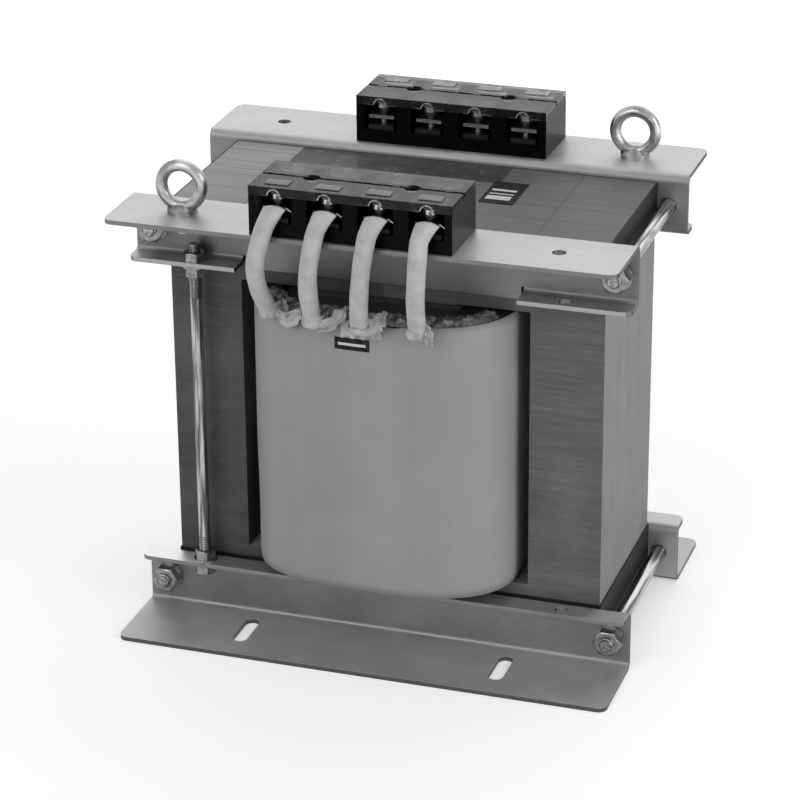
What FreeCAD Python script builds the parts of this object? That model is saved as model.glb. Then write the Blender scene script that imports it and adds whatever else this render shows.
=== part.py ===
import FreeCAD, Part
import Sketcher
import math
import os

# A single-phase autotransformer on a shell-type core: three upright limbs between two yokes, one
# coil on the centre limb, four folded brackets clamped by tie rods, two four-pole terminal blocks
# and two lifting eyebolts. X runs along the brackets, the front is at -Y and the feet stand on Z = 0.
# The origin is at the middle of the footprint.

doc = FreeCAD.newDocument("autotransformer")
sheet = doc.addObject("Spreadsheet::Sheet", "Sizes")

# Driving sizes in millimetres, and counts without a unit.
SIZES = {
    # core
    "limb_width": 50,
    "centre_limb": 100,
    "window_width": 50,
    "window_height": 197,
    "yoke_height": 50,
    "stack_depth": 130,
    "core_foot": 1,
    "band_thickness": 1,
    # coil, from the bore outwards
    "bore_clearance": 1,
    "former_wall": 2.5,
    "former_corner": 4,
    "end_clearance": 0.5,
    "inner_build": 14,
    "duct_width": 5,
    "outer_build": 15,
    "wrap_thickness": 3,
    "coil_width": 182,
    "coil_depth": 222,
    "coil_corner": 52,
    "coil_crown": 300,
    "margin_height": 11,
    "collar_height": 8,
    "wrap_recess": 1,
    "spacer_width": 4,
    "spacer_pitch": 15,
    "spacer_count": 7,
    # brackets
    "plate": 3,
    "bend_radius": 3,
    "bracket_overhang": 22,
    "bracket_height": 43,
    "top_rise": 6,
    "top_flange": 59.5,
    "foot_flange": 66,
    "lip_depth": 20,
    "lip_gap": 193,
    "lip_relief": 1.5,
    "tongue_drop": 3,
    "corner_radius": 6,
    "slot_spacing": 182,
    "slot_length": 33,
    "slot_width": 10,
    "slot_inset": 32,
    "lug_spacing": 254.4,
    "eye_inset": 30.5,
    "rod_inset": 12.6,
    # horizontal tie rods
    "tie_diameter": 10,
    "tie_setout": 8.6,
    "tie_height": 22,
    "tie_hole": 11,
    "tie_nut": 17,
    "tie_nut_height": 8.4,
    "tie_washer": 20,
    "tie_washer_height": 2,
    "tie_end": 2.5,
    "nut_chamfer_share": 0.47,
    "end_chamfer_share": 0.125,
    # vertical rods and eyebolts
    "rod_diameter": 8,
    "rod_hole": 9,
    "rod_nut": 13,
    "rod_nut_height": 6.5,
    "rod_washer": 16,
    "rod_washer_height": 1.6,
    "rod_top_end": 5,
    "rod_foot_end": 1.5,
    "eye_outside": 36,
    "eye_inside": 20,
    "eye_height": 36,
    "eye_collar": 20,
    "eye_collar_height": 6,
    "eye_neck": 9,
    "eye_shank": 14,
    # terminal blocks
    "pole_count": 4,
    "pole_pitch": 34,
    "block_depth": 50.5,
    "block_height": 33,
    "block_shift": 3,
    "block_inset": 6,
    "lid_thickness": 2.5,
    "skirt_height": 6,
    "skirt_thickness": 2.5,
    "lid_groove": 3,
    "arch_radius": 4.5,
    "cell_width": 24,
    "cell_depth": 17,
    "cell_floor": 9,
    "well_diameter": 11,
    "well_depth": 7,
    "bar_width": 18,
    "bar_setback": 2.25,
    "bar_thickness": 3,
    "bar_clearance": 0.1,
    "clamp_depth": 12,
    "clamp_thickness": 2.5,
    "clamp_setback": 10.25,
    "screw_shank": 5,
    "screw_head": 10,
    "screw_head_height": 3,
    "screw_neck": 5,
    "mount_shank": 5,
    "mount_hole": 5.5,
    "mount_head": 8.5,
    "mount_head_height": 3.5,
    "mount_nut": 8,
    "mount_nut_height": 4,
    "mount_tail": 1,
    "tag_length": 16,
    "tag_width": 9,
    "tag_thickness": 0.6,
    "tag_setback": 10.25,
    # leads
    "sleeve_diameter": 12,
    "core_wire": 4,
    "wire_reach": 7.5,
    "tape_thickness": 1,
    "tape_length": 6,
    "lead_gap": 0.2,
    "lead_stand": 9,
    "lead_depth": 9,
    "lead_1_mid": -64.5,
    "lead_1_low": -64,
    "lead_2_mid": -28.3,
    "lead_2_low": -31.5,
    "lead_3_mid": 7,
    "lead_3_low": 1,
    "lead_4_mid": 44,
    "lead_4_low": 39.5,
}
for row, (name, number) in enumerate(SIZES.items(), 1):
    sheet.set(f"A{row}", name)
    sheet.set(f"B{row}", str(number))
    sheet.setAlias(f"B{row}", name)
doc.recompute()

# Levels and places that several pieces share, as expressions in the sizes above.
HALF_CORE = "(Sizes.centre_limb / 2 + Sizes.window_width + Sizes.limb_width)"
HALF_INNER = "(Sizes.centre_limb / 2 + Sizes.window_width)"
HALF_STACK = "(Sizes.stack_depth / 2)"
WINDOW_FLOOR = "(Sizes.core_foot + Sizes.yoke_height)"
WINDOW_ROOF = f"({WINDOW_FLOOR} + Sizes.window_height)"
CORE_TOP = f"({WINDOW_ROOF} + Sizes.yoke_height)"
WEB_BACK = f"({HALF_STACK} + Sizes.band_thickness)"
WEB_FRONT = f"({WEB_BACK} + Sizes.plate)"
BRACKET_TOP = f"({CORE_TOP} + Sizes.top_rise)"
TOP_LIP = f"({BRACKET_TOP} - Sizes.bracket_height)"
OUTER_BEND = "(Sizes.bend_radius + Sizes.plate)"
EYE_Y = f"({WEB_BACK} + Sizes.eye_inset)"
ROD_Y = f"({WEB_BACK} + Sizes.rod_inset)"
BLOCK_Y = f"({WEB_BACK} + Sizes.block_inset + Sizes.block_depth / 2)"
BODY_TOP = "(Sizes.block_height - Sizes.lid_thickness)"
BLOCK_LENGTH = "(Sizes.pole_count * Sizes.pole_pitch)"
BAR_LENGTH = "(Sizes.block_depth - 2 * Sizes.bar_setback)"
BAR_TOP = "(Sizes.cell_floor + Sizes.bar_thickness)"
CLAMP_LIFT = "(Sizes.core_wire + 2 * Sizes.bar_clearance)"
WIRE_Z = f"({BRACKET_TOP} + {BAR_TOP} + {CLAMP_LIFT} / 2)"


def value(expression):
    """The number that an expression in the sheet's sizes comes to."""
    return float(sheet.evalExpression(expression))


def bind(item, **expressions):
    """Tie properties of a document object to expressions."""
    for name, expression in expressions.items():
        item.setExpression(name, expression)
    return item


def place(item, x="0", y="0", z="0", turn=None):
    """Put an object at a place given by expressions, turned by a rotation."""
    item.Placement = FreeCAD.Placement(FreeCAD.Vector(), turn or FreeCAD.Rotation())
    for axis, expression in zip("xyz", (x, y, z)):
        item.setExpression(f"Placement.Base.{axis}", expression)
    return item


def primitive(kind, label, x="0", y="0", z="0", turn=None, **sizes):
    """One Part primitive with its sizes and place tied to the sheet."""
    item = doc.addObject(f"Part::{kind}", label)
    item.Label = label
    return place(bind(item, **sizes), x, y, z, turn)


def boolean(kind, label, base, tool):
    """Cut or Common of two solids."""
    item = doc.addObject(f"Part::{kind}", label)
    item.Label = label
    item.Base = base
    item.Tool = tool
    return item


def fused(label, shapes):
    """One solid from several that share faces or volume."""
    item = doc.addObject("Part::MultiFuse", label)
    item.Label = label
    item.Shapes = shapes
    return item


def group(label, pieces):
    """Like pieces that share one file."""
    item = doc.addObject("Part::Compound", label)
    item.Label = label
    item.Links = pieces
    return item


def copy_at(label, master, x="0", y="0", z="0", turn=None):
    """A further copy of a piece at a place of its own."""
    link = doc.addObject("App::Link", label)
    link.Label = label
    link.LinkedObject = master
    return place(link, x, y, z, turn)


HALF_TURN = FreeCAD.Rotation(FreeCAD.Vector(0, 0, 1), 180)
TO_FRONT = FreeCAD.Rotation(FreeCAD.Vector(1, 0, 0), 90)
TO_BACK = FreeCAD.Rotation(FreeCAD.Vector(1, 0, 0), -90)
UPSIDE_DOWN = FreeCAD.Rotation(FreeCAD.Vector(1, 0, 0), 180)


def opposite(label, master):
    """The same piece half a turn round the upright axis, as the rear repeats the front."""
    base = f"{master.Name}.Placement.Base"
    return copy_at(label, master, f"-{base}.x", f"-{base}.y", f"{base}.z", HALF_TURN)


def new_body(label):
    """An empty body, named after its sub-part."""
    body = doc.addObject("PartDesign::Body", label)
    body.Label = label
    return body


def new_sketch(body, name, plane, offset="0"):
    """A sketch on one of the body's origin planes, moved along the plane's normal."""
    sketch = body.newObject("Sketcher::SketchObject", name)
    support = [item for item in body.Origin.OriginFeatures if item.Role == plane][0]
    sketch.AttachmentSupport = [(support, "")]
    sketch.MapMode = "FlatFace"
    sketch.setExpression("AttachmentOffset.Base.z", offset)
    return sketch


def limit(sketch, kind, *ends, to):
    """One dimension in a sketch, tied to an expression."""
    index = sketch.addConstraint(Sketcher.Constraint(kind, *ends, value(to)))
    sketch.setExpression(f"Constraints[{index}]", to)


def join(sketch, kind, *ends):
    """One relation between two pieces of sketch geometry."""
    sketch.addConstraint(Sketcher.Constraint(kind, *ends))


def arc(sketch, centre, radius, start, end):
    """An arc that runs counter-clockwise between two angles in radians."""
    circle_of_arc = Part.Circle(centre, FreeCAD.Vector(0, 0, 1), radius)
    return sketch.addGeometry(Part.ArcOfCircle(circle_of_arc, start, end), False)


def outline(sketch, corners):
    """Closed outline of level and upright runs; each corner is (across, up, bend radius)."""
    points = [FreeCAD.Vector(value(x), value(y), 0) for x, y, bend in corners]
    bends = [value(bend) for x, y, bend in corners]
    count = len(corners)
    ways = [(points[(i + 1) % count] - points[i]).normalize() for i in range(count)]
    runs = []
    for i, way in enumerate(ways):
        following = (i + 1) % count
        start = points[i] + way * bends[i]
        end = points[following] - way * bends[following]
        runs.append(sketch.addGeometry(Part.LineSegment(start, end), False))
    for i, run in enumerate(runs):
        upright = abs(ways[i].y) > 0.5
        join(sketch, "Vertical" if upright else "Horizontal", run)
        limit(sketch, "DistanceX" if upright else "DistanceY", -1, 1, run, 1, to=corners[i][0 if upright else 1])
        if not bends[i]:
            join(sketch, "Coincident", runs[i - 1], 2, run, 1)
            continue
        before, after = ways[i - 1], ways[i]
        centre = points[i] + (after - before) * bends[i]
        left_turn = before.cross(after).z > 0
        ends = [points[i] - before * bends[i], points[i] + after * bends[i]]
        if not left_turn:
            ends.reverse()
        angles = [math.atan2(end.y - centre.y, end.x - centre.x) for end in ends]
        corner = arc(sketch, centre, bends[i], *angles)
        join(sketch, "Tangent", runs[i - 1], 2, corner, 1 if left_turn else 2)
        join(sketch, "Tangent", corner, 2 if left_turn else 1, run, 1)
        limit(sketch, "Radius", corner, to=corners[i][2])


def rectangle(sketch, x0, y0, x1, y1, bend="0"):
    """Rectangle between two opposite corners, with its corners rounded alike."""
    outline(sketch, [(x0, y0, bend), (x1, y0, bend), (x1, y1, bend), (x0, y1, bend)])


def circle(sketch, x, y, diameter):
    """One full circle."""
    centre = FreeCAD.Vector(value(x), value(y), 0)
    ring = sketch.addGeometry(Part.Circle(centre, FreeCAD.Vector(0, 0, 1), value(diameter) / 2), False)
    limit(sketch, "DistanceX", -1, 1, ring, 3, to=x)
    limit(sketch, "DistanceY", -1, 1, ring, 3, to=y)
    limit(sketch, "Diameter", ring, to=diameter)


def upright_slot(sketch, x, y, length, width):
    """Slot with round ends that runs up the sketch, centred on x, y."""
    reach = f"(({length} - {width}) / 2)"
    radius = value(width) / 2
    centres = [FreeCAD.Vector(value(x), value(f"{y} + {way} * {reach}"), 0) for way in (1, -1)]
    upper = arc(sketch, centres[0], radius, 0, math.pi)
    lower = arc(sketch, centres[1], radius, math.pi, 2 * math.pi)
    across = FreeCAD.Vector(radius, 0, 0)
    right = sketch.addGeometry(Part.LineSegment(centres[1] + across, centres[0] + across), False)
    left = sketch.addGeometry(Part.LineSegment(centres[0] - across, centres[1] - across), False)
    join(sketch, "Tangent", right, 2, upper, 1)
    join(sketch, "Tangent", upper, 2, left, 1)
    join(sketch, "Tangent", left, 2, lower, 1)
    join(sketch, "Tangent", lower, 2, right, 1)
    join(sketch, "Equal", upper, lower)
    limit(sketch, "Radius", upper, to=f"{width} / 2")
    for end, way in ((upper, 1), (lower, -1)):
        limit(sketch, "DistanceX", -1, 1, end, 3, to=x)
        limit(sketch, "DistanceY", -1, 1, end, 3, to=f"{y} + {way} * {reach}")


def barrel(sketch, inset):
    """The coil's plan drawn inwards by an inset: flat sides, a low crown at each end, round corners."""
    half_width = f"(Sizes.coil_width / 2 - {inset})"
    half_depth = f"(Sizes.coil_depth / 2 - {inset})"
    corner = f"(Sizes.coil_corner - {inset})"
    crown = f"(Sizes.coil_crown - {inset})"
    width, depth, small, large = (value(size) for size in (half_width, half_depth, corner, crown))
    crown_y = large - depth
    corner_x = width - small
    corner_y = math.sqrt((large - small) ** 2 - corner_x ** 2) - crown_y
    swing = math.atan2(corner_x, corner_y + crown_y)
    sides = []
    for way in (1, -1):
        start = FreeCAD.Vector(way * width, -way * corner_y, 0)
        end = FreeCAD.Vector(way * width, way * corner_y, 0)
        sides.append(sketch.addGeometry(Part.LineSegment(start, end), False))
    crowns = []
    corners = []
    for way, turn in ((1, 0), (-1, math.pi)):
        middle = turn + math.pi / 2
        centre = FreeCAD.Vector(0, -way * crown_y, 0)
        crowns.append(arc(sketch, centre, large, middle - swing, middle + swing))
        leading = FreeCAD.Vector(way * corner_x, way * corner_y, 0)
        trailing = FreeCAD.Vector(-way * corner_x, way * corner_y, 0)
        corners.append(arc(sketch, leading, small, turn, middle - swing))
        corners.append(arc(sketch, trailing, small, middle + swing, turn + math.pi))
    chain = [sides[0], corners[0], crowns[0], corners[1], sides[1], corners[2], crowns[1], corners[3]]
    for before, after in zip(chain, chain[1:] + chain[:1]):
        join(sketch, "Tangent", before, 2, after, 1)
    for side, way in zip(sides, "+-"):
        join(sketch, "Vertical", side)
        limit(sketch, "DistanceX", -1, 1, side, 1, to=f"{way}{half_width}")
    for end, way in zip(crowns, "-+"):
        join(sketch, "PointOnObject", end, 3, -2)
        limit(sketch, "DistanceY", -1, 1, end, 3, to=f"{way}({crown} - {half_depth})")
    limit(sketch, "Radius", crowns[0], to=crown)
    join(sketch, "Equal", crowns[0], crowns[1])
    limit(sketch, "Radius", corners[0], to=corner)
    for other in corners[1:]:
        join(sketch, "Equal", corners[0], other)


def pad(body, sketch, name, length, both_ways=False):
    """Raise a sketch into a solid."""
    doc.recompute()
    feature = body.newObject("PartDesign::Pad", name)
    feature.Profile = sketch
    feature.Midplane = both_ways
    return bind(feature, Length=length)


def pocket(body, sketch, name, length=None, both_ways=False):
    """Cut a sketch into the body, to a depth or right through, and make sure that it cut."""
    doc.recompute()
    before = body.Shape.Volume
    feature = body.newObject("PartDesign::Pocket", name)
    feature.Profile = sketch
    feature.Midplane = both_ways
    if length:
        bind(feature, Length=length)
    else:
        feature.Type = "ThroughAll"
    doc.recompute()
    if not body.Shape.Volume < before:
        raise ValueError(f"{name} cuts nothing")
    return feature


def round_corners(body, name, places, radius):
    """Round the upright edges of a body that stand at the given places."""
    doc.recompute()
    spots = [FreeCAD.Vector(value(x), value(y), 0) for x, y in places]
    chosen = []
    for index, edge in enumerate(body.Shape.Edges, 1):
        ends = [FreeCAD.Vector(vertex.X, vertex.Y, 0) for vertex in edge.Vertexes]
        upright = len(ends) == 2 and (ends[0] - ends[1]).Length < 1e-4
        if upright and any((ends[0] - spot).Length < 1e-4 for spot in spots):
            chosen.append(f"Edge{index}")
    last = body.Tip
    feature = body.newObject("PartDesign::Fillet", name)
    feature.Base = (last, chosen)
    bind(feature, Radius=radius)
    doc.recompute()


NODES = []


def keep(*pieces):
    """List finished sub-parts for export."""
    NODES.extend(pieces)


# Core: strips of sheet steel stacked front to back. The limbs run the whole height and the yokes
# lie between them, so that their joints show as lines on the top.


def core_stack(label, x0, x1, z0, z1):
    """One stack of strips between two limits along X and two along Z."""
    body = new_body(label)
    sketch = new_sketch(body, f"{label}_strip", "XZ_Plane")
    rectangle(sketch, x0, z0, x1, z1)
    pad(body, sketch, f"{label}_stack", "Sizes.stack_depth", both_ways=True)
    return body


limb_left = core_stack("core_limb_left", f"-{HALF_CORE}", f"-{HALF_INNER}", "Sizes.core_foot", CORE_TOP)
limb_right = opposite("core_limb_right", limb_left)
limb_centre = core_stack(
    "core_limb_centre", "-Sizes.centre_limb / 2", "Sizes.centre_limb / 2", WINDOW_FLOOR, WINDOW_ROOF
)
yoke_bottom = core_stack(
    "core_yoke_bottom", f"-{HALF_INNER}", HALF_INNER, "Sizes.core_foot", WINDOW_FLOOR
)
yoke_top = core_stack("core_yoke_top", f"-{HALF_INNER}", HALF_INNER, WINDOW_ROOF, CORE_TOP)
keep(limb_left, limb_right, limb_centre, yoke_bottom, yoke_top)


# Insulating bands round both yokes, as high as the bracket webs that press on them.


def yoke_band(label, low, high):
    """Closed band round the core between two levels."""
    body = new_body(label)
    sketch = new_sketch(body, f"{label}_plan", "XY_Plane", low)
    skin = "Sizes.band_thickness"
    rectangle(sketch, f"-{HALF_CORE} - {skin}", f"-{WEB_BACK}", f"{HALF_CORE} + {skin}", WEB_BACK)
    rectangle(sketch, f"-{HALF_CORE}", f"-{HALF_STACK}", HALF_CORE, HALF_STACK)
    pad(body, sketch, f"{label}_height", f"{high} - {low}")
    return body


keep(yoke_band("yoke_band_bottom", "Sizes.core_foot", "Sizes.bracket_height"))
keep(yoke_band("yoke_band_top", TOP_LIP, CORE_TOP))


# Coil: former, inner winding, cooling duct with spacers, outer winding, margin collars and wrap.

FORMER_LOW = f"({WINDOW_FLOOR} + Sizes.end_clearance)"
FORMER_HIGH = f"({WINDOW_ROOF} - Sizes.end_clearance)"
WINDING_LOW = f"({FORMER_LOW} + Sizes.margin_height)"
WINDING_HIGH = f"({FORMER_HIGH} - Sizes.margin_height)"
BORE_X = "(Sizes.centre_limb / 2 + Sizes.bore_clearance)"
BORE_Y = f"({HALF_STACK} + Sizes.bore_clearance)"
FORMER_X = f"({BORE_X} + Sizes.former_wall)"
FORMER_Y = f"({BORE_Y} + Sizes.former_wall)"
OUTER_INSET = "(Sizes.wrap_thickness + Sizes.outer_build)"
INNER_INSET = f"({OUTER_INSET} + Sizes.duct_width)"


def former_bore(sketch):
    """The hollow of the former round the centre limb."""
    rectangle(sketch, f"-{BORE_X}", f"-{BORE_Y}", BORE_X, BORE_Y)


def former_outside(sketch):
    """The former's outer face, on which the inner winding lies."""
    rectangle(sketch, f"-{FORMER_X}", f"-{FORMER_Y}", FORMER_X, FORMER_Y, "Sizes.former_corner")


def tube(label, low, high, draw_outside, draw_inside):
    """Upright tube between two levels."""
    body = new_body(label)
    sketch = new_sketch(body, f"{label}_plan", "XY_Plane", low)
    draw_outside(sketch)
    draw_inside(sketch)
    pad(body, sketch, f"{label}_height", f"{high} - {low}")
    return body


def coil_face(inset):
    """Drawing function for the coil's plan at one depth under the wrap."""
    return lambda sketch: barrel(sketch, inset)


keep(tube("coil_former", FORMER_LOW, FORMER_HIGH, former_outside, former_bore))
keep(tube("winding_inner", WINDING_LOW, WINDING_HIGH, coil_face(INNER_INSET), former_outside))
keep(
    tube(
        "winding_outer",
        WINDING_LOW,
        WINDING_HIGH,
        coil_face("Sizes.wrap_thickness"),
        coil_face(OUTER_INSET),
    )
)
for level, low, high in (
    ("bottom", f"({WINDING_LOW} - Sizes.collar_height)", WINDING_LOW),
    ("top", WINDING_HIGH, f"({WINDING_HIGH} + Sizes.collar_height)"),
):
    keep(tube(f"collar_inner_{level}", low, high, coil_face(INNER_INSET), former_outside))
    keep(
        tube(
            f"collar_outer_{level}",
            low,
            high,
            coil_face("Sizes.wrap_thickness"),
            coil_face(OUTER_INSET),
        )
    )
keep(
    tube(
        "coil_wrap",
        f"({FORMER_LOW} + Sizes.wrap_recess)",
        f"({FORMER_HIGH} - Sizes.wrap_recess)",
        coil_face("0"),
        coil_face("Sizes.wrap_thickness"),
    )
)

duct = tube("duct_ring", WINDING_LOW, WINDING_HIGH, coil_face(OUTER_INSET), coil_face(INNER_INSET))
sticks = []
for index in range(SIZES["spacer_count"]):
    middle = f"({index} - (Sizes.spacer_count - 1) / 2) * Sizes.spacer_pitch"
    sticks.append(
        primitive(
            "Box",
            f"spacer_cutter_{index + 1}",
            f"{middle} - Sizes.spacer_width / 2",
            "-Sizes.coil_depth / 2",
            WINDING_LOW,
            Length="Sizes.spacer_width",
            Width="Sizes.coil_depth",
            Height=f"{WINDING_HIGH} - {WINDING_LOW}",
        )
    )
keep(boolean("Common", "duct_spacers", duct, group("spacer_cutters", sticks)))


# Brackets: folded sheet, open away from the core. The foot brackets stand on wide slotted flanges,
# and the top ones carry the terminal blocks and eyebolts and lose their lip in front of the coil.

BRACKET_END = f"({HALF_CORE} + Sizes.bracket_overhang)"
TIE_X = f"({HALF_CORE} + Sizes.tie_setout)"


def folded_section(sketch, wide_edge, wide_level, wide_inner, lip_level, lip_inner):
    """Section across a bracket: a web at the core, a wide flange and a short lip."""
    back, front = f"-{WEB_BACK}", f"-{WEB_FRONT}"
    lip_edge = f"-({WEB_BACK} + Sizes.lip_depth)"
    outline(
        sketch,
        [
            (wide_edge, wide_level, "0"),
            (back, wide_level, OUTER_BEND),
            (back, lip_level, OUTER_BEND),
            (lip_edge, lip_level, "0"),
            (lip_edge, lip_inner, "0"),
            (front, lip_inner, "Sizes.bend_radius"),
            (front, wide_inner, "Sizes.bend_radius"),
            (wide_edge, wide_inner, "0"),
        ],
    )


def drill_pair(body, name, plane, offset, spacing, across, diameter, depth=None):
    """Two holes side by side along X."""
    sketch = new_sketch(body, f"{name}_sketch", plane, offset)
    for way in ("-", ""):
        circle(sketch, f"{way}{spacing} / 2", across, diameter)
    pocket(body, sketch, name, depth, both_ways=depth is None)


def tip_corners(edge):
    """The two ends of a flange's free edge."""
    return [(f"{way}{BRACKET_END}", f"-({WEB_BACK} + {edge})") for way in ("-", "")]


def foot_bracket(label):
    """Front foot bracket with two fixing slots."""
    body = new_body(label)
    section = new_sketch(body, f"{label}_section", "YZ_Plane")
    wide_edge = f"-({WEB_BACK} + Sizes.foot_flange)"
    lip_inner = "Sizes.bracket_height - Sizes.plate"
    folded_section(section, wide_edge, "0", "Sizes.plate", "Sizes.bracket_height", lip_inner)
    pad(body, section, f"{label}_fold", f"2 * {BRACKET_END}", both_ways=True)
    slots = new_sketch(body, f"{label}_slots_sketch", "XY_Plane", "Sizes.plate")
    for way in ("-", ""):
        upright_slot(
            slots,
            f"{way}Sizes.slot_spacing / 2",
            f"-({WEB_BACK} + Sizes.slot_inset)",
            "Sizes.slot_length",
            "Sizes.slot_width",
        )
    pocket(body, slots, f"{label}_slots", "Sizes.plate")
    drill_pair(
        body,
        f"{label}_lip_holes",
        "XY_Plane",
        "Sizes.bracket_height",
        "Sizes.lug_spacing",
        f"-{ROD_Y}",
        "Sizes.rod_hole",
        "Sizes.plate",
    )
    drill_pair(
        body,
        f"{label}_tie_holes",
        "XZ_Plane",
        "0",
        f"2 * {TIE_X}",
        "Sizes.tie_height",
        "Sizes.tie_hole",
    )
    corners = tip_corners("Sizes.foot_flange") + tip_corners("Sizes.lip_depth")
    round_corners(body, f"{label}_corners", corners, "Sizes.corner_radius")
    return body


def top_bracket(label):
    """Front top bracket, with its lip cut away in front of the coil and a deeper web there."""
    body = new_body(label)
    section = new_sketch(body, f"{label}_section", "YZ_Plane")
    wide_edge = f"-({WEB_BACK} + Sizes.top_flange)"
    wide_inner = f"{BRACKET_TOP} - Sizes.plate"
    folded_section(section, wide_edge, BRACKET_TOP, wide_inner, TOP_LIP, f"{TOP_LIP} + Sizes.plate")
    pad(body, section, f"{label}_fold", f"2 * {BRACKET_END}", both_ways=True)
    fold_line = f"{TOP_LIP} + {OUTER_BEND}"
    cut = new_sketch(body, f"{label}_gap_sketch", "YZ_Plane")
    past_lip = f"-({WEB_BACK} + 2 * Sizes.lip_depth)"
    rectangle(cut, past_lip, f"{TOP_LIP} - Sizes.plate", f"-{HALF_STACK}", fold_line)
    pocket(body, cut, f"{label}_gap", "Sizes.lip_gap", both_ways=True)
    tongue = new_sketch(body, f"{label}_tongue_sketch", "YZ_Plane")
    rectangle(tongue, f"-{WEB_FRONT}", f"{TOP_LIP} - Sizes.tongue_drop", f"-{WEB_BACK}", fold_line)
    pad(body, tongue, f"{label}_tongue", "Sizes.lip_gap - 2 * Sizes.lip_relief", both_ways=True)
    drill_pair(
        body,
        f"{label}_eye_holes",
        "XY_Plane",
        BRACKET_TOP,
        "Sizes.lug_spacing",
        f"-{EYE_Y}",
        "Sizes.rod_hole",
        "Sizes.plate",
    )
    drill_pair(
        body,
        f"{label}_lip_holes",
        "XY_Plane",
        f"{TOP_LIP} + Sizes.plate",
        "Sizes.lug_spacing",
        f"-{ROD_Y}",
        "Sizes.rod_hole",
        "Sizes.plate",
    )
    block_holes = new_sketch(body, f"{label}_block_sketch", "XY_Plane", BRACKET_TOP)
    for way in ("-", "+"):
        across = f"-Sizes.block_shift {way} Sizes.pole_pitch"
        circle(block_holes, across, f"-{BLOCK_Y}", "Sizes.mount_hole")
    pocket(body, block_holes, f"{label}_block_holes", "Sizes.plate")
    drill_pair(
        body,
        f"{label}_tie_holes",
        "XZ_Plane",
        "0",
        f"2 * {TIE_X}",
        f"{BRACKET_TOP} - Sizes.tie_height",
        "Sizes.tie_hole",
    )
    corners = tip_corners("Sizes.top_flange") + tip_corners("Sizes.lip_depth")
    round_corners(body, f"{label}_corners", corners, "Sizes.corner_radius")
    return body


foot_front = foot_bracket("bracket_foot_front")
top_front = top_bracket("bracket_top_front")
keep(foot_front, opposite("bracket_foot_rear", foot_front))
keep(top_front, opposite("bracket_top_rear", top_front))


# Fasteners. Each nut has its chamfered face at +Z and its seat at Z = 0.


def hex_nut(label, across_flats, height, bore):
    """Hexagon nut, chamfered on its outer face."""
    prism = primitive("Prism", f"{label}_prism", Circumradius=f"{across_flats} / 2 / cos(30)", Height=height)
    face = f"{across_flats} * Sizes.nut_chamfer_share"
    cone = primitive(
        "Cone", f"{label}_cone", Radius1=f"{face} + {height} / tan(30)", Radius2=face, Height=height
    )
    hole = primitive("Cylinder", f"{label}_bore", Radius=f"{bore} / 2", Height=height)
    trimmed = boolean("Common", f"{label}_trimmed", prism, cone)
    return boolean("Cut", label, trimmed, hole)


def washer(label, diameter, thickness, bore):
    """Flat washer with its lower face at Z = 0."""
    disc = primitive("Cylinder", f"{label}_disc", Radius=f"{diameter} / 2", Height=thickness)
    hole = primitive("Cylinder", f"{label}_bore", Radius=f"{bore} / 2", Height=thickness)
    return boolean("Cut", label, disc, hole)


def threaded_bar(label, diameter, length):
    """Round bar along +Z, chamfered at both ends."""
    body = new_body(label)
    sketch = new_sketch(body, f"{label}_circle", "XY_Plane")
    circle(sketch, "0", "0", diameter)
    pad(body, sketch, f"{label}_length", length)
    doc.recompute()
    rims = [f"Edge{i}" for i, edge in enumerate(body.Shape.Edges, 1) if edge.Closed]
    last = body.Tip
    feature = body.newObject("PartDesign::Chamfer", f"{label}_chamfer")
    feature.Base = (last, rims)
    bind(feature, Size=f"{diameter} * Sizes.end_chamfer_share")
    return body


TIE_REACH = f"({WEB_FRONT} + Sizes.tie_washer_height + Sizes.tie_nut_height + Sizes.tie_end)"
TIE_LEVELS = {"bottom": "Sizes.tie_height", "top": f"({BRACKET_TOP} - Sizes.tie_height)"}

tie_nut = hex_nut("tie_nut", "Sizes.tie_nut", "Sizes.tie_nut_height", "Sizes.tie_diameter")
tie_washer = washer("tie_washer", "Sizes.tie_washer", "Sizes.tie_washer_height", "Sizes.tie_diameter")
tie_bar = threaded_bar("tie_bar", "Sizes.tie_diameter", f"2 * {TIE_REACH}")
tie_nuts = []
tie_washers = []
for level, z in TIE_LEVELS.items():
    for side, way in (("left", "-"), ("right", "")):
        x = f"{way}{TIE_X}"
        keep(copy_at(f"tie_rod_{level}_{side}", tie_bar, x, TIE_REACH, z, TO_FRONT))
        for end, sign, turn in (("front", "-", TO_FRONT), ("rear", "", TO_BACK)):
            spot = f"{level}_{side}_{end}"
            tie_washers.append(copy_at(f"tie_washer_{spot}", tie_washer, x, f"{sign}{WEB_FRONT}", z, turn))
            seat = f"{sign}({WEB_FRONT} + Sizes.tie_washer_height)"
            tie_nuts.append(copy_at(f"tie_nut_{spot}", tie_nut, x, seat, z, turn))
keep(group("tie_rod_washers", tie_washers), group("tie_rod_nuts", tie_nuts))

ROD_LOW = "(Sizes.bracket_height - Sizes.plate - Sizes.rod_nut_height - Sizes.rod_foot_end)"
ROD_HIGH = f"({TOP_LIP} + Sizes.plate + Sizes.rod_nut_height + Sizes.rod_top_end)"

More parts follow.
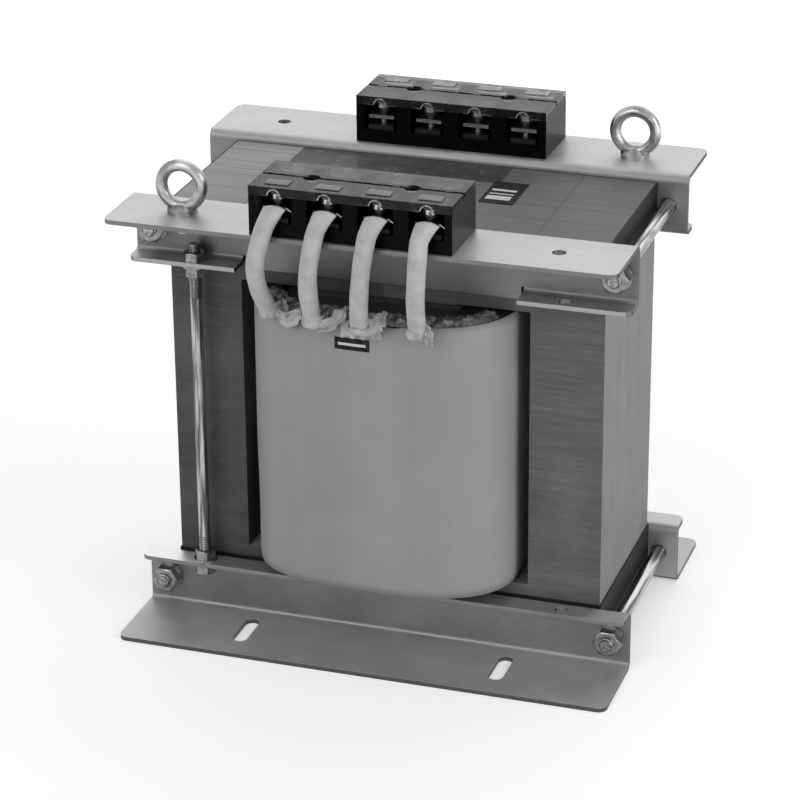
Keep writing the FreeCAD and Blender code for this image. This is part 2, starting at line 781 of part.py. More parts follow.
rod_nut = hex_nut("rod_nut", "Sizes.rod_nut", "Sizes.rod_nut_height", "Sizes.rod_diameter")
rod_washer = washer("rod_washer", "Sizes.rod_washer", "Sizes.rod_washer_height", "Sizes.rod_diameter")
rod_bar = threaded_bar("rod_bar", "Sizes.rod_diameter", f"{ROD_HIGH} - {ROD_LOW}")
rod_nuts = []
rod_washers = []
for corner, x, y in (
    ("front_left", "-Sizes.lug_spacing / 2", f"-{ROD_Y}"),
    ("rear_right", "Sizes.lug_spacing / 2", ROD_Y),
):
    keep(copy_at(f"upright_rod_{corner}", rod_bar, x, y, ROD_LOW))
    under_top = f"{TOP_LIP} - Sizes.rod_washer_height"
    on_foot = "Sizes.bracket_height + Sizes.rod_washer_height"
    rod_washers.append(copy_at(f"rod_washer_top_{corner}", rod_washer, x, y, under_top))
    rod_washers.append(copy_at(f"rod_washer_foot_{corner}", rod_washer, x, y, "Sizes.bracket_height"))
    for spot, z, turn in (
        ("over_top_lip", f"{TOP_LIP} + Sizes.plate", None),
        ("under_top_lip", under_top, UPSIDE_DOWN),
        ("over_foot_lip", on_foot, None),
        ("under_foot_lip", "Sizes.bracket_height - Sizes.plate", UPSIDE_DOWN),
    ):
        rod_nuts.append(copy_at(f"rod_nut_{spot}_{corner}", rod_nut, x, y, z, turn))
keep(group("upright_rod_washers", rod_washers), group("upright_rod_nuts", rod_nuts))


# Lifting eyebolts at two opposite corners: a ring on a collar, with its shank through the flange.


def eyebolt(label, x, y):
    """Eyebolt whose collar seats on the top flange."""
    ring_section = "(Sizes.eye_outside - Sizes.eye_inside) / 4"
    ring = primitive(
        "Torus",
        f"{label}_ring",
        x,
        y,
        f"{BRACKET_TOP} + Sizes.eye_height - Sizes.eye_outside / 2",
        TO_FRONT,
        Radius1=f"Sizes.eye_outside / 2 - {ring_section}",
        Radius2=ring_section,
    )
    collar = primitive(
        "Cylinder",
        f"{label}_collar",
        x,
        y,
        BRACKET_TOP,
        Radius="Sizes.eye_collar / 2",
        Height="Sizes.eye_collar_height / 2",
    )
    neck = primitive(
        "Cone",
        f"{label}_neck",
        x,
        y,
        f"{BRACKET_TOP} + Sizes.eye_collar_height / 2",
        Radius1="Sizes.eye_collar / 2",
        Radius2="Sizes.eye_neck / 2",
        Height="Sizes.eye_collar_height / 2",
    )
    shank = primitive(
        "Cylinder",
        f"{label}_shank",
        x,
        y,
        f"{BRACKET_TOP} - Sizes.eye_shank",
        Radius="Sizes.rod_diameter / 2",
        Height="Sizes.eye_shank",
    )
    return fused(label, [ring, collar, neck, shank])


eye_left = eyebolt("eyebolt_front_left", "-Sizes.lug_spacing / 2", f"-{EYE_Y}")
keep(eye_left, opposite("eyebolt_rear_right", eye_left))
eye_washers = []
eye_nuts = []
under_flange = f"{BRACKET_TOP} - Sizes.plate - Sizes.rod_washer_height"
for corner, sign in (("front_left", "-"), ("rear_right", "")):
    x, y = f"{sign}Sizes.lug_spacing / 2", f"{sign}{EYE_Y}"
    eye_washers.append(copy_at(f"eye_washer_{corner}", rod_washer, x, y, under_flange))
    eye_nuts.append(copy_at(f"eye_nut_{corner}", rod_nut, x, y, under_flange, UPSIDE_DOWN))
keep(group("eyebolt_washers", eye_washers), group("eyebolt_nuts", eye_nuts))


# Terminal blocks: moulded bodies with an open cell for each pole on both long sides, a bar and two
# clamps for each pole, and two lids with a groove between them for the fixing screws.


def block_place(piece):
    """Seat a piece of the front block on the top bracket's flange."""
    return place(piece, "-Sizes.block_shift", f"-{BLOCK_Y}", BRACKET_TOP)


def pole(index):
    """Middle of a pole along the block."""
    return f"(({index} - (Sizes.pole_count - 1) / 2) * Sizes.pole_pitch)"


POLES = range(SIZES["pole_count"])


def block_body(label):
    """Moulded block with a rebate for the lids, cells, bar slots and fixing wells."""
    body = new_body(label)
    section = new_sketch(body, f"{label}_section", "YZ_Plane")
    edge = "Sizes.block_depth / 2"
    step = "(Sizes.block_depth / 2 - Sizes.skirt_thickness)"
    ledge = "Sizes.block_height - Sizes.skirt_height"
    outline(
        section,
        [
            (f"-{edge}", "0", "0"),
            (edge, "0", "0"),
            (edge, ledge, "0"),
            (step, ledge, "0"),
            (step, BODY_TOP, "0"),
            (f"-{step}", BODY_TOP, "0"),
            (f"-{step}", ledge, "0"),
            (f"-{edge}", ledge, "0"),
        ],
    )
    pad(body, section, f"{label}_length", BLOCK_LENGTH, both_ways=True)
    for side, sign in (("front", "-"), ("back", "")):
        cells = new_sketch(body, f"{label}_{side}_cells_sketch", "XY_Plane", BODY_TOP)
        inner = f"{sign}(Sizes.block_depth / 2 - Sizes.cell_depth)"
        outer = f"{sign}(Sizes.block_depth / 2 + Sizes.skirt_thickness)"
        low, high = (outer, inner) if sign else (inner, outer)
        for index in POLES:
            middle = pole(index)
            half = "Sizes.cell_width / 2"
            rectangle(cells, f"{middle} - {half}", low, f"{middle} + {half}", high)
        pocket(body, cells, f"{label}_{side}_cells", f"{BODY_TOP} - Sizes.cell_floor")
    slots = new_sketch(body, f"{label}_bar_slots_sketch", "XZ_Plane")
    slack = "Sizes.bar_clearance"
    for index in POLES:
        half = f"(Sizes.bar_width / 2 + {slack})"
        middle = pole(index)
        top = f"{BAR_TOP} + {slack}"
        rectangle(slots, f"{middle} - {half}", "Sizes.cell_floor", f"{middle} + {half}", top)
    pocket(body, slots, f"{label}_bar_slots", f"{BAR_LENGTH} + 2 * Sizes.bar_clearance", both_ways=True)
    for name, width, depth in (
        ("wells", "Sizes.well_diameter", f"Sizes.well_depth - Sizes.lid_thickness"),
        ("fixing_holes", "Sizes.mount_hole", BODY_TOP),
    ):
        holes = new_sketch(body, f"{label}_{name}_sketch", "XY_Plane", BODY_TOP)
        for way in ("-", ""):
            circle(holes, f"{way}Sizes.pole_pitch", "0", width)
        pocket(body, holes, f"{label}_{name}", depth)
    return block_place(body)


def block_lid(label, sign):
    """Lid over one row of cells, with a skirt arched over each cell."""
    body = new_body(f"{label}_blank")
    section = new_sketch(body, f"{label}_section", "YZ_Plane")
    edge = f"{sign}Sizes.block_depth / 2"
    step = f"{sign}(Sizes.block_depth / 2 - Sizes.skirt_thickness)"
    inner = f"{sign}Sizes.lid_groove / 2"
    corners = [
        (edge, "Sizes.block_height - Sizes.skirt_height", "0"),
        (edge, "Sizes.block_height", "0"),
        (inner, "Sizes.block_height", "0"),
        (inner, BODY_TOP, "0"),
        (step, BODY_TOP, "0"),
        (step, "Sizes.block_height - Sizes.skirt_height", "0"),
    ]
    outline(section, corners)
    pad(body, section, f"{label}_length", BLOCK_LENGTH, both_ways=True)
    wells = new_sketch(body, f"{label}_wells_sketch", "XY_Plane", "Sizes.block_height")
    for way in ("-", ""):
        circle(wells, f"{way}Sizes.pole_pitch", "0", "Sizes.well_diameter")
    pocket(body, wells, f"{label}_wells", "Sizes.lid_thickness")
    doc.recompute()
    arches = []
    for index in POLES:
        arches.append(
            primitive(
                "Cylinder",
                f"{label}_arch_{index + 1}",
                pole(index),
                f"{edge} + Sizes.skirt_thickness * 2",
                "Sizes.block_height - Sizes.skirt_height",
                TO_FRONT,
                Radius="Sizes.arch_radius",
                Height="Sizes.skirt_thickness * 4",
            )
        )
    return block_place(boolean("Cut", label, body, group(f"{label}_arches", arches)))


body_front = block_body("terminal_body_front")
keep(body_front, opposite("terminal_body_rear", body_front))
for side, sign in (("outer", "-"), ("inner", "")):
    lid = block_lid(f"terminal_lid_{side}_front", sign)
    keep(lid, opposite(f"terminal_lid_{side}_rear", lid))

bar = primitive(
    "Box", "pole_bar", Length="Sizes.bar_width", Width=BAR_LENGTH, Height="Sizes.bar_thickness"
)
clamp_plate = primitive(
    "Box", "clamp_plate", Length="Sizes.bar_width", Width="Sizes.clamp_depth", Height="Sizes.clamp_thickness"
)
clamp_bore = primitive(
    "Cylinder",
    "clamp_bore",
    "Sizes.bar_width / 2",
    "Sizes.clamp_depth / 2",
    Radius="Sizes.screw_shank / 2",
    Height="Sizes.clamp_thickness",
)
clamp = boolean("Cut", "clamp", clamp_plate, clamp_bore)
SCREW_NECK_LOW = f"({CLAMP_LIFT} + Sizes.clamp_thickness)"
clamp_screw = fused(
    "clamp_screw",
    [
        primitive("Cylinder", "screw_shank_solid", Radius="Sizes.screw_shank / 2", Height=SCREW_NECK_LOW),
        primitive(
            "Cone",
            "screw_neck_solid",
            z=SCREW_NECK_LOW,
            Radius1="Sizes.screw_shank / 2",
            Radius2="Sizes.screw_head / 2",
            Height="Sizes.screw_neck",
        ),
        primitive(
            "Cylinder",
            "screw_head_solid",
            z=f"{SCREW_NECK_LOW} + Sizes.screw_neck",
            Radius="Sizes.screw_head / 2",
            Height="Sizes.screw_head_height",
        ),
    ],
)
bars = []
clamps = []
screws = []
for index in POLES:
    x = pole(index)
    bars.append(
        copy_at(
            f"pole_bar_{index + 1}",
            bar,
            f"{x} - Sizes.bar_width / 2",
            f"-{BAR_LENGTH} / 2",
            "Sizes.cell_floor",
        )
    )
    for side, sign in (("front", "-"), ("back", "")):
        y = f"{sign}(Sizes.block_depth / 2 - Sizes.clamp_setback)"
        low_x, low_y = f"{x} - Sizes.bar_width / 2", f"{y} - Sizes.clamp_depth / 2"
        lift = f"{BAR_TOP} + {CLAMP_LIFT}"
        clamps.append(copy_at(f"clamp_{side}_{index + 1}", clamp, low_x, low_y, lift))
        screws.append(copy_at(f"clamp_screw_{side}_{index + 1}", clamp_screw, x, y, BAR_TOP))
for name, pieces in (("bars", bars), ("clamps", clamps), ("screws", screws)):
    front = block_place(group(f"terminal_{name}_front", pieces))
    keep(front, opposite(f"terminal_{name}_rear", front))

tag = primitive(
    "Box", "pole_tag", Length="Sizes.tag_length", Width="Sizes.tag_width", Height="Sizes.tag_thickness"
)
tags = []
for index in POLES:
    low_x = f"{pole(index)} - Sizes.tag_length / 2"
    low_y = "Sizes.tag_setback - Sizes.block_depth / 2 - Sizes.tag_width / 2"
    tags.append(copy_at(f"pole_tag_{index + 1}", tag, low_x, low_y, "Sizes.block_height"))
tags_front = block_place(group("terminal_tags_front", tags))
keep(tags_front, opposite("terminal_tags_rear", tags_front))

WELL_FLOOR = "(Sizes.block_height - Sizes.well_depth)"
MOUNT_REACH = f"({WELL_FLOOR} + Sizes.plate + Sizes.mount_nut_height + Sizes.mount_tail)"
mount_screw = fused(
    "mount_screw",
    [
        primitive("Cylinder", "mount_head_solid", Radius="Sizes.mount_head / 2", Height="Sizes.mount_head_height"),
        primitive(
            "Cylinder",
            "mount_shank_solid",
            z=f"-{MOUNT_REACH}",
            Radius="Sizes.mount_shank / 2",
            Height=MOUNT_REACH,
        ),
    ],
)
mount_nut = hex_nut("mount_nut", "Sizes.mount_nut", "Sizes.mount_nut_height", "Sizes.mount_shank")
mount_screws = []
mount_nuts = []
for end, sign in (("front", "-"), ("rear", "")):
    for which, way in (("a", "-"), ("b", "+")):
        x = f"{sign}Sizes.block_shift {way} Sizes.pole_pitch"
        y = f"{sign}{BLOCK_Y}"
        seat = f"{BRACKET_TOP} + {WELL_FLOOR}"
        mount_screws.append(copy_at(f"mount_screw_{end}_{which}", mount_screw, x, y, seat))
        below = f"{BRACKET_TOP} - Sizes.plate"
        mount_nuts.append(copy_at(f"mount_nut_{end}_{which}", mount_nut, x, y, below, UPSIDE_DOWN))
keep(group("terminal_fixing_screws", mount_screws), group("terminal_fixing_nuts", mount_nuts))


# Leads: four sleeved wires that leave the wrap's top edge, stand out round the flange and bend back
# into the front block's outer cells.


def coil_front(x, clearance):
    """Distance from the coil's middle plane to a line that clearance keeps off the wrap's front."""
    corner = value("Sizes.coil_corner") + clearance
    crown = value("Sizes.coil_crown") + clearance
    corner_x = value("Sizes.coil_width / 2 - Sizes.coil_corner")
    crown_y = value("Sizes.coil_crown - Sizes.coil_depth / 2")
    corner_y = math.sqrt((crown - corner) ** 2 - corner_x ** 2) - crown_y
    if abs(x) < crown * corner_x / (crown - corner):
        return math.sqrt(crown ** 2 - x ** 2) - crown_y
    return corner_y + math.sqrt(corner ** 2 - (abs(x) - corner_x) ** 2)


def bent_path(label, points):
    """Straight runs joined by tangent arcs, each as large as its two runs allow."""
    edges = []
    start = points[0]
    radii = []
    for before, here, after in zip(points, points[1:], points[2:]):
        come, leave = (here - before).normalize(), (after - here).normalize()
        half = come.getAngle(leave) / 2
        cut = 0.45 * min((here - before).Length, (after - here).Length)
        radius = cut / math.tan(half)
        radii.append(radius)
        entry, exit_point = here - come * cut, here + leave * cut
        towards = (leave - come).normalize()
        middle = here + towards * (radius / math.cos(half) - radius)
        edges.append(Part.LineSegment(start, entry).toShape())
        edges.append(Part.Arc(entry, middle, exit_point).toShape())
        start = exit_point
    edges.append(Part.LineSegment(start, points[-1]).toShape())
    wire = Part.Wire(edges)
    print(label, "length %.1f" % wire.Length, "radii", " ".join("%.1f" % radius for radius in radii))
    return wire


def swept_rod(label, points, radius):
    """Round rod along a bent path, with its volume checked against section times length."""
    wire = bent_path(label, points)
    way = (points[1] - points[0]).normalize()
    section = Part.Wire(Part.Circle(points[0], way, radius).toShape())
    solid = wire.makePipeShell([section], True, True)
    expected = math.pi * radius ** 2 * wire.Length
    if abs(solid.Volume - expected) > 0.01 * expected:
        raise ValueError(f"{label} has volume {solid.Volume}, expected {expected}")
    item = doc.addObject("Part::Feature", label)
    item.Label = label
    item.Shape = solid
    return item


sleeve_radius = value("Sizes.sleeve_diameter / 2")
tape = value("Sizes.tape_thickness")
block_front = -value(f"{BLOCK_Y} + Sizes.block_depth / 2")
wire_level = value(WIRE_Z)
flange_edge = -value(f"{WEB_BACK} + Sizes.top_flange")
out = min(flange_edge - sleeve_radius, block_front - value("Sizes.lead_stand"))
wrap_top = value(f"{FORMER_HIGH} - Sizes.wrap_recess")
fall = wire_level - wrap_top
wires = []
tapes = []
for index in POLES:
    number = index + 1
    cell = value(f"-Sizes.block_shift + {pole(index)}")
    mid = value(f"Sizes.lead_{number}_mid")
    low = value(f"Sizes.lead_{number}_low")
    wall = -coil_front(low, sleeve_radius + tape + value("Sizes.lead_gap"))
    # mouth at the cell, bend over the flange's edge, slack middle, and foot on the wrap
    points = [
        FreeCAD.Vector(cell, block_front - 0.15 * sleeve_radius, wire_level + 0.5 * sleeve_radius),
        FreeCAD.Vector(cell, out + 0.15 * sleeve_radius, wire_level),
        FreeCAD.Vector(0.75 * cell + 0.25 * mid, out - 0.4 * sleeve_radius, wire_level - 0.09 * fall),
        FreeCAD.Vector(0.35 * cell + 0.65 * mid, out - 0.45 * sleeve_radius, wire_level - 0.25 * fall),
        FreeCAD.Vector(mid, out - 0.25 * sleeve_radius, wire_level - 0.475 * fall),
        FreeCAD.Vector(0.5 * (mid + low), 0.7 * out + 0.3 * wall, wrap_top + 0.27 * fall),
        FreeCAD.Vector(low, wall, wrap_top + 0.035 * fall),
        FreeCAD.Vector(low, wall, wrap_top - value("Sizes.lead_depth")),
    ]
    sleeve = swept_rod(f"lead_{number}", points, sleeve_radius)
    keep(sleeve)
    wire = primitive(
        "Cylinder",
        f"lead_wire_{number}_whole",
        f"-Sizes.block_shift + {pole(index)}",
        f"-({BLOCK_Y} + Sizes.block_depth / 2 - Sizes.wire_reach)",
        WIRE_Z,
        TO_FRONT,
        Radius="Sizes.core_wire / 2",
        Height="Sizes.wire_reach + Sizes.sleeve_diameter / 2",
    )
    wires.append(boolean("Cut", f"lead_wire_{number}", wire, sleeve))
    turns = doc.addObject("Part::Feature", f"lead_tape_{number}")
    ring = Part.makeCylinder(sleeve_radius + tape, value("Sizes.tape_length"), points[-1])
    turns.Shape = ring.cut(Part.makeCylinder(sleeve_radius, value("Sizes.tape_length"), points[-1]))
    tapes.append(turns)
keep(group("lead_wires", wires), group("lead_tapes", tapes))


doc.recompute()
failed = [item.Name for item in doc.Objects if {"Invalid", "Error"} & set(item.State)]
if failed:
    raise ValueError(f"failed objects: {failed}")
os.makedirs("parts", exist_ok=True)
for node in NODES:
    shape = Part.getShape(node)
    if shape.isNull() or not shape.isValid() or not shape.Solids:
        raise ValueError(f"{node.Label} has no valid solid")
    shape.exportStep(f"parts/{node.Label}.step")
print(len(NODES), "sub-parts")
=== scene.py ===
import math

import bmesh
import bpy
import numpy as np
from mathutils import Matrix, Vector


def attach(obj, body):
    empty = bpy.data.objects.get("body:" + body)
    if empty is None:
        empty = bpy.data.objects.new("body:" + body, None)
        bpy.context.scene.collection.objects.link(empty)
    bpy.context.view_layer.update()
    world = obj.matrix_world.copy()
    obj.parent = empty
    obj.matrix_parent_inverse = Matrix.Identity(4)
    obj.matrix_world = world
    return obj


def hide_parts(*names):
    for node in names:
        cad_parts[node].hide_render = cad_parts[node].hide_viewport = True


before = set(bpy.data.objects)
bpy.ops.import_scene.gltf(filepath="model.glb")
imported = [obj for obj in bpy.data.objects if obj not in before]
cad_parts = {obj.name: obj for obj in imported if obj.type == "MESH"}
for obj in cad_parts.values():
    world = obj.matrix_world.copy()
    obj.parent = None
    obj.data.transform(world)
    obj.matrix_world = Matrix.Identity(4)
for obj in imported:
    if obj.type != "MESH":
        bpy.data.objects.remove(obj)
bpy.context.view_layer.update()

# The studio: a white sheet under the transformer and a white room round it, a large soft box high
# behind it that brightens the top flanges, one at the right for the core's side, and one in front.
# The camera looks down from the front right with a long lens.

scene = bpy.context.scene
scene.view_settings.view_transform = "Standard"

lens = bpy.data.cameras.new("view")
lens.sensor_width = 36
lens.lens = 140
lens.clip_end = 20
view = bpy.data.objects.new("view", lens)
scene.collection.objects.link(view)
VIEW_PLACE = (0.6081, -1.8622, 1.0014)
VIEW_YAW, VIEW_DIP, VIEW_ROLL = (math.radians(angle) for angle in (18.39, 23.58, -0.47))
heading = Matrix.Rotation(VIEW_YAW, 4, "Z") @ Matrix.Rotation(math.pi / 2 - VIEW_DIP, 4, "X")
view.matrix_world = Matrix.Translation(VIEW_PLACE) @ heading @ Matrix.Rotation(VIEW_ROLL, 4, "Z")
scene.camera = view


def feed(tree, socket, given):
    """Links a socket to an output, or sets it to a value."""
    if isinstance(given, bpy.types.NodeSocket):
        tree.links.new(given, socket)
    else:
        socket.default_value = given


def add_node(tree, kind, **inputs):
    """A shader node; a keyword is one of its properties, or an input by its label or as i and its number."""
    node = tree.nodes.new(kind)
    for name, given in inputs.items():
        if name in node.bl_rna.properties:
            setattr(node, name, given)
            continue
        feed(tree, node.inputs[int(name[1:]) if name[1:].isdigit() else name.replace("_", " ")], given)
    return node


def soft_box(name, place, aim, size, power):
    """A square area lamp that faces a point."""
    light = bpy.data.lights.new(name, "AREA")
    light.size = size
    light.energy = power
    lamp = bpy.data.objects.new(name, light)
    lamp.location = place
    lamp.rotation_euler = (Vector(aim) - Vector(place)).to_track_quat("-Z", "Y").to_euler()
    scene.collection.objects.link(lamp)


soft_box("box_behind", (-0.1, 1.35, 1.35), (0, 0, 0.3), 2.6, 13)
soft_box("box_right", (1.9, -0.5, 0.8), (0, 0, 0.15), 1.2, 13)
soft_box("box_front", (-0.8, -2.2, 1.5), (0, 0, 0.15), 1.4, 14)


def calc(tree, operation, first, second=0.0, third=0.0):
    """One step of arithmetic."""
    return add_node(tree, "ShaderNodeMath", operation=operation, i0=first, i1=second, i2=third).outputs[0]


def seen_white(tree):
    """1 for rays from the camera, from a mirror or through glass, and 0 for light."""
    path = add_node(tree, "ShaderNodeLightPath").outputs
    mirror = calc(tree, "MAXIMUM", path["Is Camera Ray"], path["Is Glossy Ray"])
    return calc(tree, "MAXIMUM", mirror, path["Is Transmission Ray"])


room = bpy.data.worlds.new("room")
scene.world = room
room.use_nodes = True
tree = room.node_tree
tree.nodes.clear()
level = add_node(tree, "ShaderNodeMapRange", Value=seen_white(tree), To_Min=0.42, To_Max=1.0)
glow = add_node(tree, "ShaderNodeBackground", Color=(1, 1, 1, 1), Strength=level.outputs[0])
tree.links.new(glow.outputs[0], add_node(tree, "ShaderNodeOutputWorld").inputs["Surface"])


TIP_GAP = 0.00002


def set_mesh(name, points, faces, closed=False):
    """A smooth piece from points in metres and faces of equal corner counts.

    With closed, the points that meet at its tips are joined.
    """
    mesh = bpy.data.meshes.new(name)
    points = np.asarray(points, dtype=np.float32).reshape(-1, 3)
    faces = np.asarray(faces, dtype=np.int32)
    corners = faces.shape[1]
    mesh.vertices.add(len(points))
    mesh.vertices.foreach_set("co", points.ravel())
    mesh.loops.add(faces.size)
    mesh.loops.foreach_set("vertex_index", faces.ravel())
    mesh.polygons.add(len(faces))
    mesh.polygons.foreach_set("loop_start", np.arange(0, faces.size, corners, dtype=np.int32))
    mesh.polygons.foreach_set("use_smooth", np.ones(len(faces), dtype=bool))
    mesh.update(calc_edges=True)
    mesh.validate()
    if closed:
        joined = bmesh.new()
        joined.from_mesh(mesh)
        bmesh.ops.remove_doubles(joined, verts=joined.verts, dist=TIP_GAP)
        joined.to_mesh(mesh)
        joined.free()
    piece = bpy.data.objects.new(name, mesh)
    scene.collection.objects.link(piece)
    return piece


# The sheet glows by itself where the camera sees it: a little round the transformer, which keeps the
# shadow, and fully further out, so that no edge shows against the room.
SHEET_REACH = 6.0
corners = [(SHEET_REACH * x, SHEET_REACH * y, 0) for x, y in ((-1, -1), (1, -1), (1, 1), (-1, 1))]
sheet = set_mesh("white_sheet", corners, [(0, 1, 2, 3)])
paper = bpy.data.materials.new("white_sheet")
paper.use_nodes = True
tree = paper.node_tree
matt = tree.nodes["Principled BSDF"]
matt.inputs["Base Color"].default_value = (0.85, 0.85, 0.85, 1)
matt.inputs["Roughness"].default_value = 0.95
matt.inputs["Specular IOR Level"].default_value = 0.1
place = add_node(tree, "ShaderNodeTexCoord").outputs["Object"]
distance = add_node(tree, "ShaderNodeVectorMath", operation="LENGTH", i0=place).outputs["Value"]
lift = add_node(
    tree, "ShaderNodeMapRange", Value=distance, From_Min=0.7, From_Max=2.2, To_Min=0.4, To_Max=1.0
).outputs[0]
strength = calc(tree, "MULTIPLY", seen_white(tree), lift)
glow = add_node(tree, "ShaderNodeEmission", Color=(1, 1, 1, 1), Strength=strength)
both = add_node(tree, "ShaderNodeAddShader", i0=matt.outputs[0], i1=glow.outputs[0])
tree.links.new(both.outputs[0], tree.nodes["Material Output"].inputs["Surface"])
sheet.data.materials.append(paper)

# The core: packs of varnished steel strips, laid from front to back in six packs that butt at the
# window corners. Fronts show the rolled sheet with cross marks from the varnish roller. Tops and
# sides show cut strip edges as fine lines, with a darker line where two packs meet.


def effect(name, inputs, outputs):
    """A shader node group with named sockets; returns the group, its input node and its output node."""
    group = bpy.data.node_groups.new(name, "ShaderNodeTree")
    kinds = {"value": "NodeSocketFloat", "vector": "NodeSocketVector"}
    for way, sockets in (("INPUT", inputs), ("OUTPUT", outputs)):
        for label, kind in sockets.items():
            group.interface.new_socket(label, in_out=way, socket_type=kinds[kind])
    return group, group.nodes.new("NodeGroupInput"), group.nodes.new("NodeGroupOutput")


def apply_effect(tree, group, **inputs):
    """One use of an effect group; returns its output sockets."""
    node = tree.nodes.new("ShaderNodeGroup")
    node.node_tree = group
    for label, given in inputs.items():
        feed(tree, node.inputs[label.replace("_", " ")], given)
    return node.outputs


def times(tree, *factors):
    """The product of masks and numbers."""
    product = factors[0]
    for factor in factors[1:]:
        product = calc(tree, "MULTIPLY", product, factor)
    return product


def below(tree, value, limit):
    """1 where a value is under a limit."""
    return calc(tree, "LESS_THAN", value, limit)


def beyond(tree, value, limit):
    """1 where a value is over a limit."""
    return calc(tree, "GREATER_THAN", value, limit)


def within(tree, value, middle, half):
    """1 where a value is less than a half width from a middle."""
    return below(tree, calc(tree, "ABSOLUTE", calc(tree, "SUBTRACT", value, middle)), half)


def parts(tree, vector):
    """The X, Y and Z of a vector."""
    return add_node(tree, "ShaderNodeSeparateXYZ", Vector=vector).outputs


def facing(tree):
    """The X, Y and Z of the surface's outward direction."""
    return parts(tree, add_node(tree, "ShaderNodeNewGeometry").outputs["Normal"])


def noise(tree, place, scale, detail, roughness=0.5):
    """Cloudy noise from 0 to 1 with a mean of a half."""
    return add_node(
        tree, "ShaderNodeTexNoise", Vector=place, Scale=scale, Detail=detail, Roughness=roughness
    ).outputs[0]


def shades(tree, factor, *stops):
    """A ramp of (position, grey or colour) stops."""
    node = add_node(tree, "ShaderNodeValToRGB", Fac=factor)
    elements = node.color_ramp.elements
    for index, (position, colour) in enumerate(stops):
        element = elements[index] if index < 2 else elements.new(position)
        element.position = position
        element.color = (*colour, 1) if isinstance(colour, tuple) else (colour, colour, colour, 1)
    return node.outputs["Color"]


def blend(tree, factor, first, second):
    """A mix of two colours or greys by a mask; the node's colours go in at 6 and 7 and come out at 2."""
    colours = []
    for given in (first, second):
        colours.append(given if isinstance(given, bpy.types.NodeSocket) else (given, given, given, 1))
    node = add_node(tree, "ShaderNodeMix", data_type="RGBA", i0=factor, i6=colours[0], i7=colours[1])
    return node.outputs[2]


def finish(name):
    """A new material; returns it with its tree, shader inputs, and object coordinates."""
    material = bpy.data.materials.new(name)
    material.use_nodes = True
    tree = material.node_tree
    place = add_node(tree, "ShaderNodeTexCoord").outputs["Object"]
    return material, tree, tree.nodes["Principled BSDF"].inputs, place


def relief(tree, inputs, height, distance, strength=1.0):
    """Bump from a height mask over a depth in metres."""
    node = add_node(tree, "ShaderNodeBump", Height=height, Strength=strength, Distance=distance)
    tree.links.new(node.outputs[0], inputs["Normal"])


def dress(material, *names):
    """Gives CAD nodes their material."""
    for name in names:
        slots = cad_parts[name].data.materials
        slots.clear()
        slots.append(material)


# Streaks: two noises stretched along an axis, a broad one and a fine one, with a mean of a half.
sockets = {"Vector": "vector", "Broad": "vector", "Fine": "vector", "Fine Share": "value"}
streaks, entry, leave = effect("streaks", sockets, {"Value": "value"})
vector, share = entry.outputs["Vector"], entry.outputs["Fine Share"]
layers = []
for label in ("Broad", "Fine"):
    stretched = add_node(
        streaks, "ShaderNodeVectorMath", operation="MULTIPLY", i0=vector, i1=entry.outputs[label]
    )
    layers.append(noise(streaks, stretched.outputs[0], 1.0, 3.0, 0.6))
fine_part = times(streaks, layers[1], share)
broad_part = times(streaks, layers[0], calc(streaks, "SUBTRACT", 1.0, share))
streaks.links.new(calc(streaks, "ADD", fine_part, broad_part), leave.inputs["Value"])


def streaked(tree, place, broad, fine, share):
    """Streaks in one material, from each noise's scale along X, Y and Z and the fine one's share."""
    return apply_effect(tree, streaks, Vector=place, Broad=broad, Fine=fine, Fine_Share=share)["Value"]


# Line: 1 within a half width of a plane across one axis, fading to 0 over the same width again.
sockets = {"Along": "value", "Place": "value", "Half Width": "value"}
line, entry, leave = effect("line", sockets, {"Mask": "value"})
away = calc(line, "ABSOLUTE", calc(line, "SUBTRACT", entry.outputs["Along"], entry.outputs["Place"]))
fade = calc(line, "SUBTRACT", 2.0, calc(line, "DIVIDE", away, entry.outputs["Half Width"]))
line.links.new(calc(line, "MAXIMUM", calc(line, "MINIMUM", fade, 1.0), 0.0), leave.inputs["Mask"])

# Where two packs meet, from front to back, where limbs and yokes butt, where the varnish is stained,
# and how far out the core's outer sides lie.
PACK_SEAMS = (-0.026, -0.001, 0.0105, 0.0255, 0.049)
BUTT_JOINTS = (-0.1005, 0.1005)
SEAM_HALF = 0.0004
STAIN_LEFT, STAIN_RIGHT, STAIN_FRONT = -0.101, 0.05, 0.032
OUTER_FACE = 0.149

core_steel, tree, inputs, place = finish("varnished_core_steel")
face = facing(tree)
on_side = calc(tree, "ABSOLUTE", face["X"])
on_top = calc(tree, "ABSOLUTE", face["Z"])
axes = parts(tree, place)
rolled = streaked(tree, place, (7, 7, 95), (45, 45, 620), 0.45)
cuts = streaked(tree, place, (3, 190, 3), (14, 1500, 14), 0.5)
grazed = streaked(tree, place, (60, 45, 18), (8, 1300, 8), 0.4)
clouds = noise(tree, place, 14.0, 5.0, 0.6)
front = shades(tree, rolled, (0.28, 0.065), (0.46, 0.105), (0.54, 0.125), (0.72, 0.18))
# The left limb's front gets a darker copy of the same grey: painted shade.
shaded_front = shades(tree, rolled, (0.28, 0.03), (0.46, 0.05), (0.54, 0.06), (0.72, 0.09))
front = blend(tree, below(tree, axes["X"], 0.0), front, shaded_front)
top = shades(tree, cuts, (0.3, 0.22), (0.48, 0.29), (0.56, 0.32), (0.7, 0.4))
# The top's grey fades from lighter at the left to darker at the right: painted light and shade.
painted_shade_top = shades(tree, cuts, (0.3, 0.085), (0.5, 0.115), (0.7, 0.15))
across = add_node(tree, "ShaderNodeMapRange", Value=axes["X"], From_Min=-0.10, From_Max=0.10).outputs[0]
top = blend(tree, across, top, painted_shade_top)
stained = times(tree, beyond(tree, axes["Y"], STAIN_FRONT), below(tree, axes["X"], STAIN_RIGHT))
stained = times(tree, stained, beyond(tree, axes["X"], STAIN_LEFT), 0.9)
spots = noise(tree, place, 120.0, 6.0, 0.7)
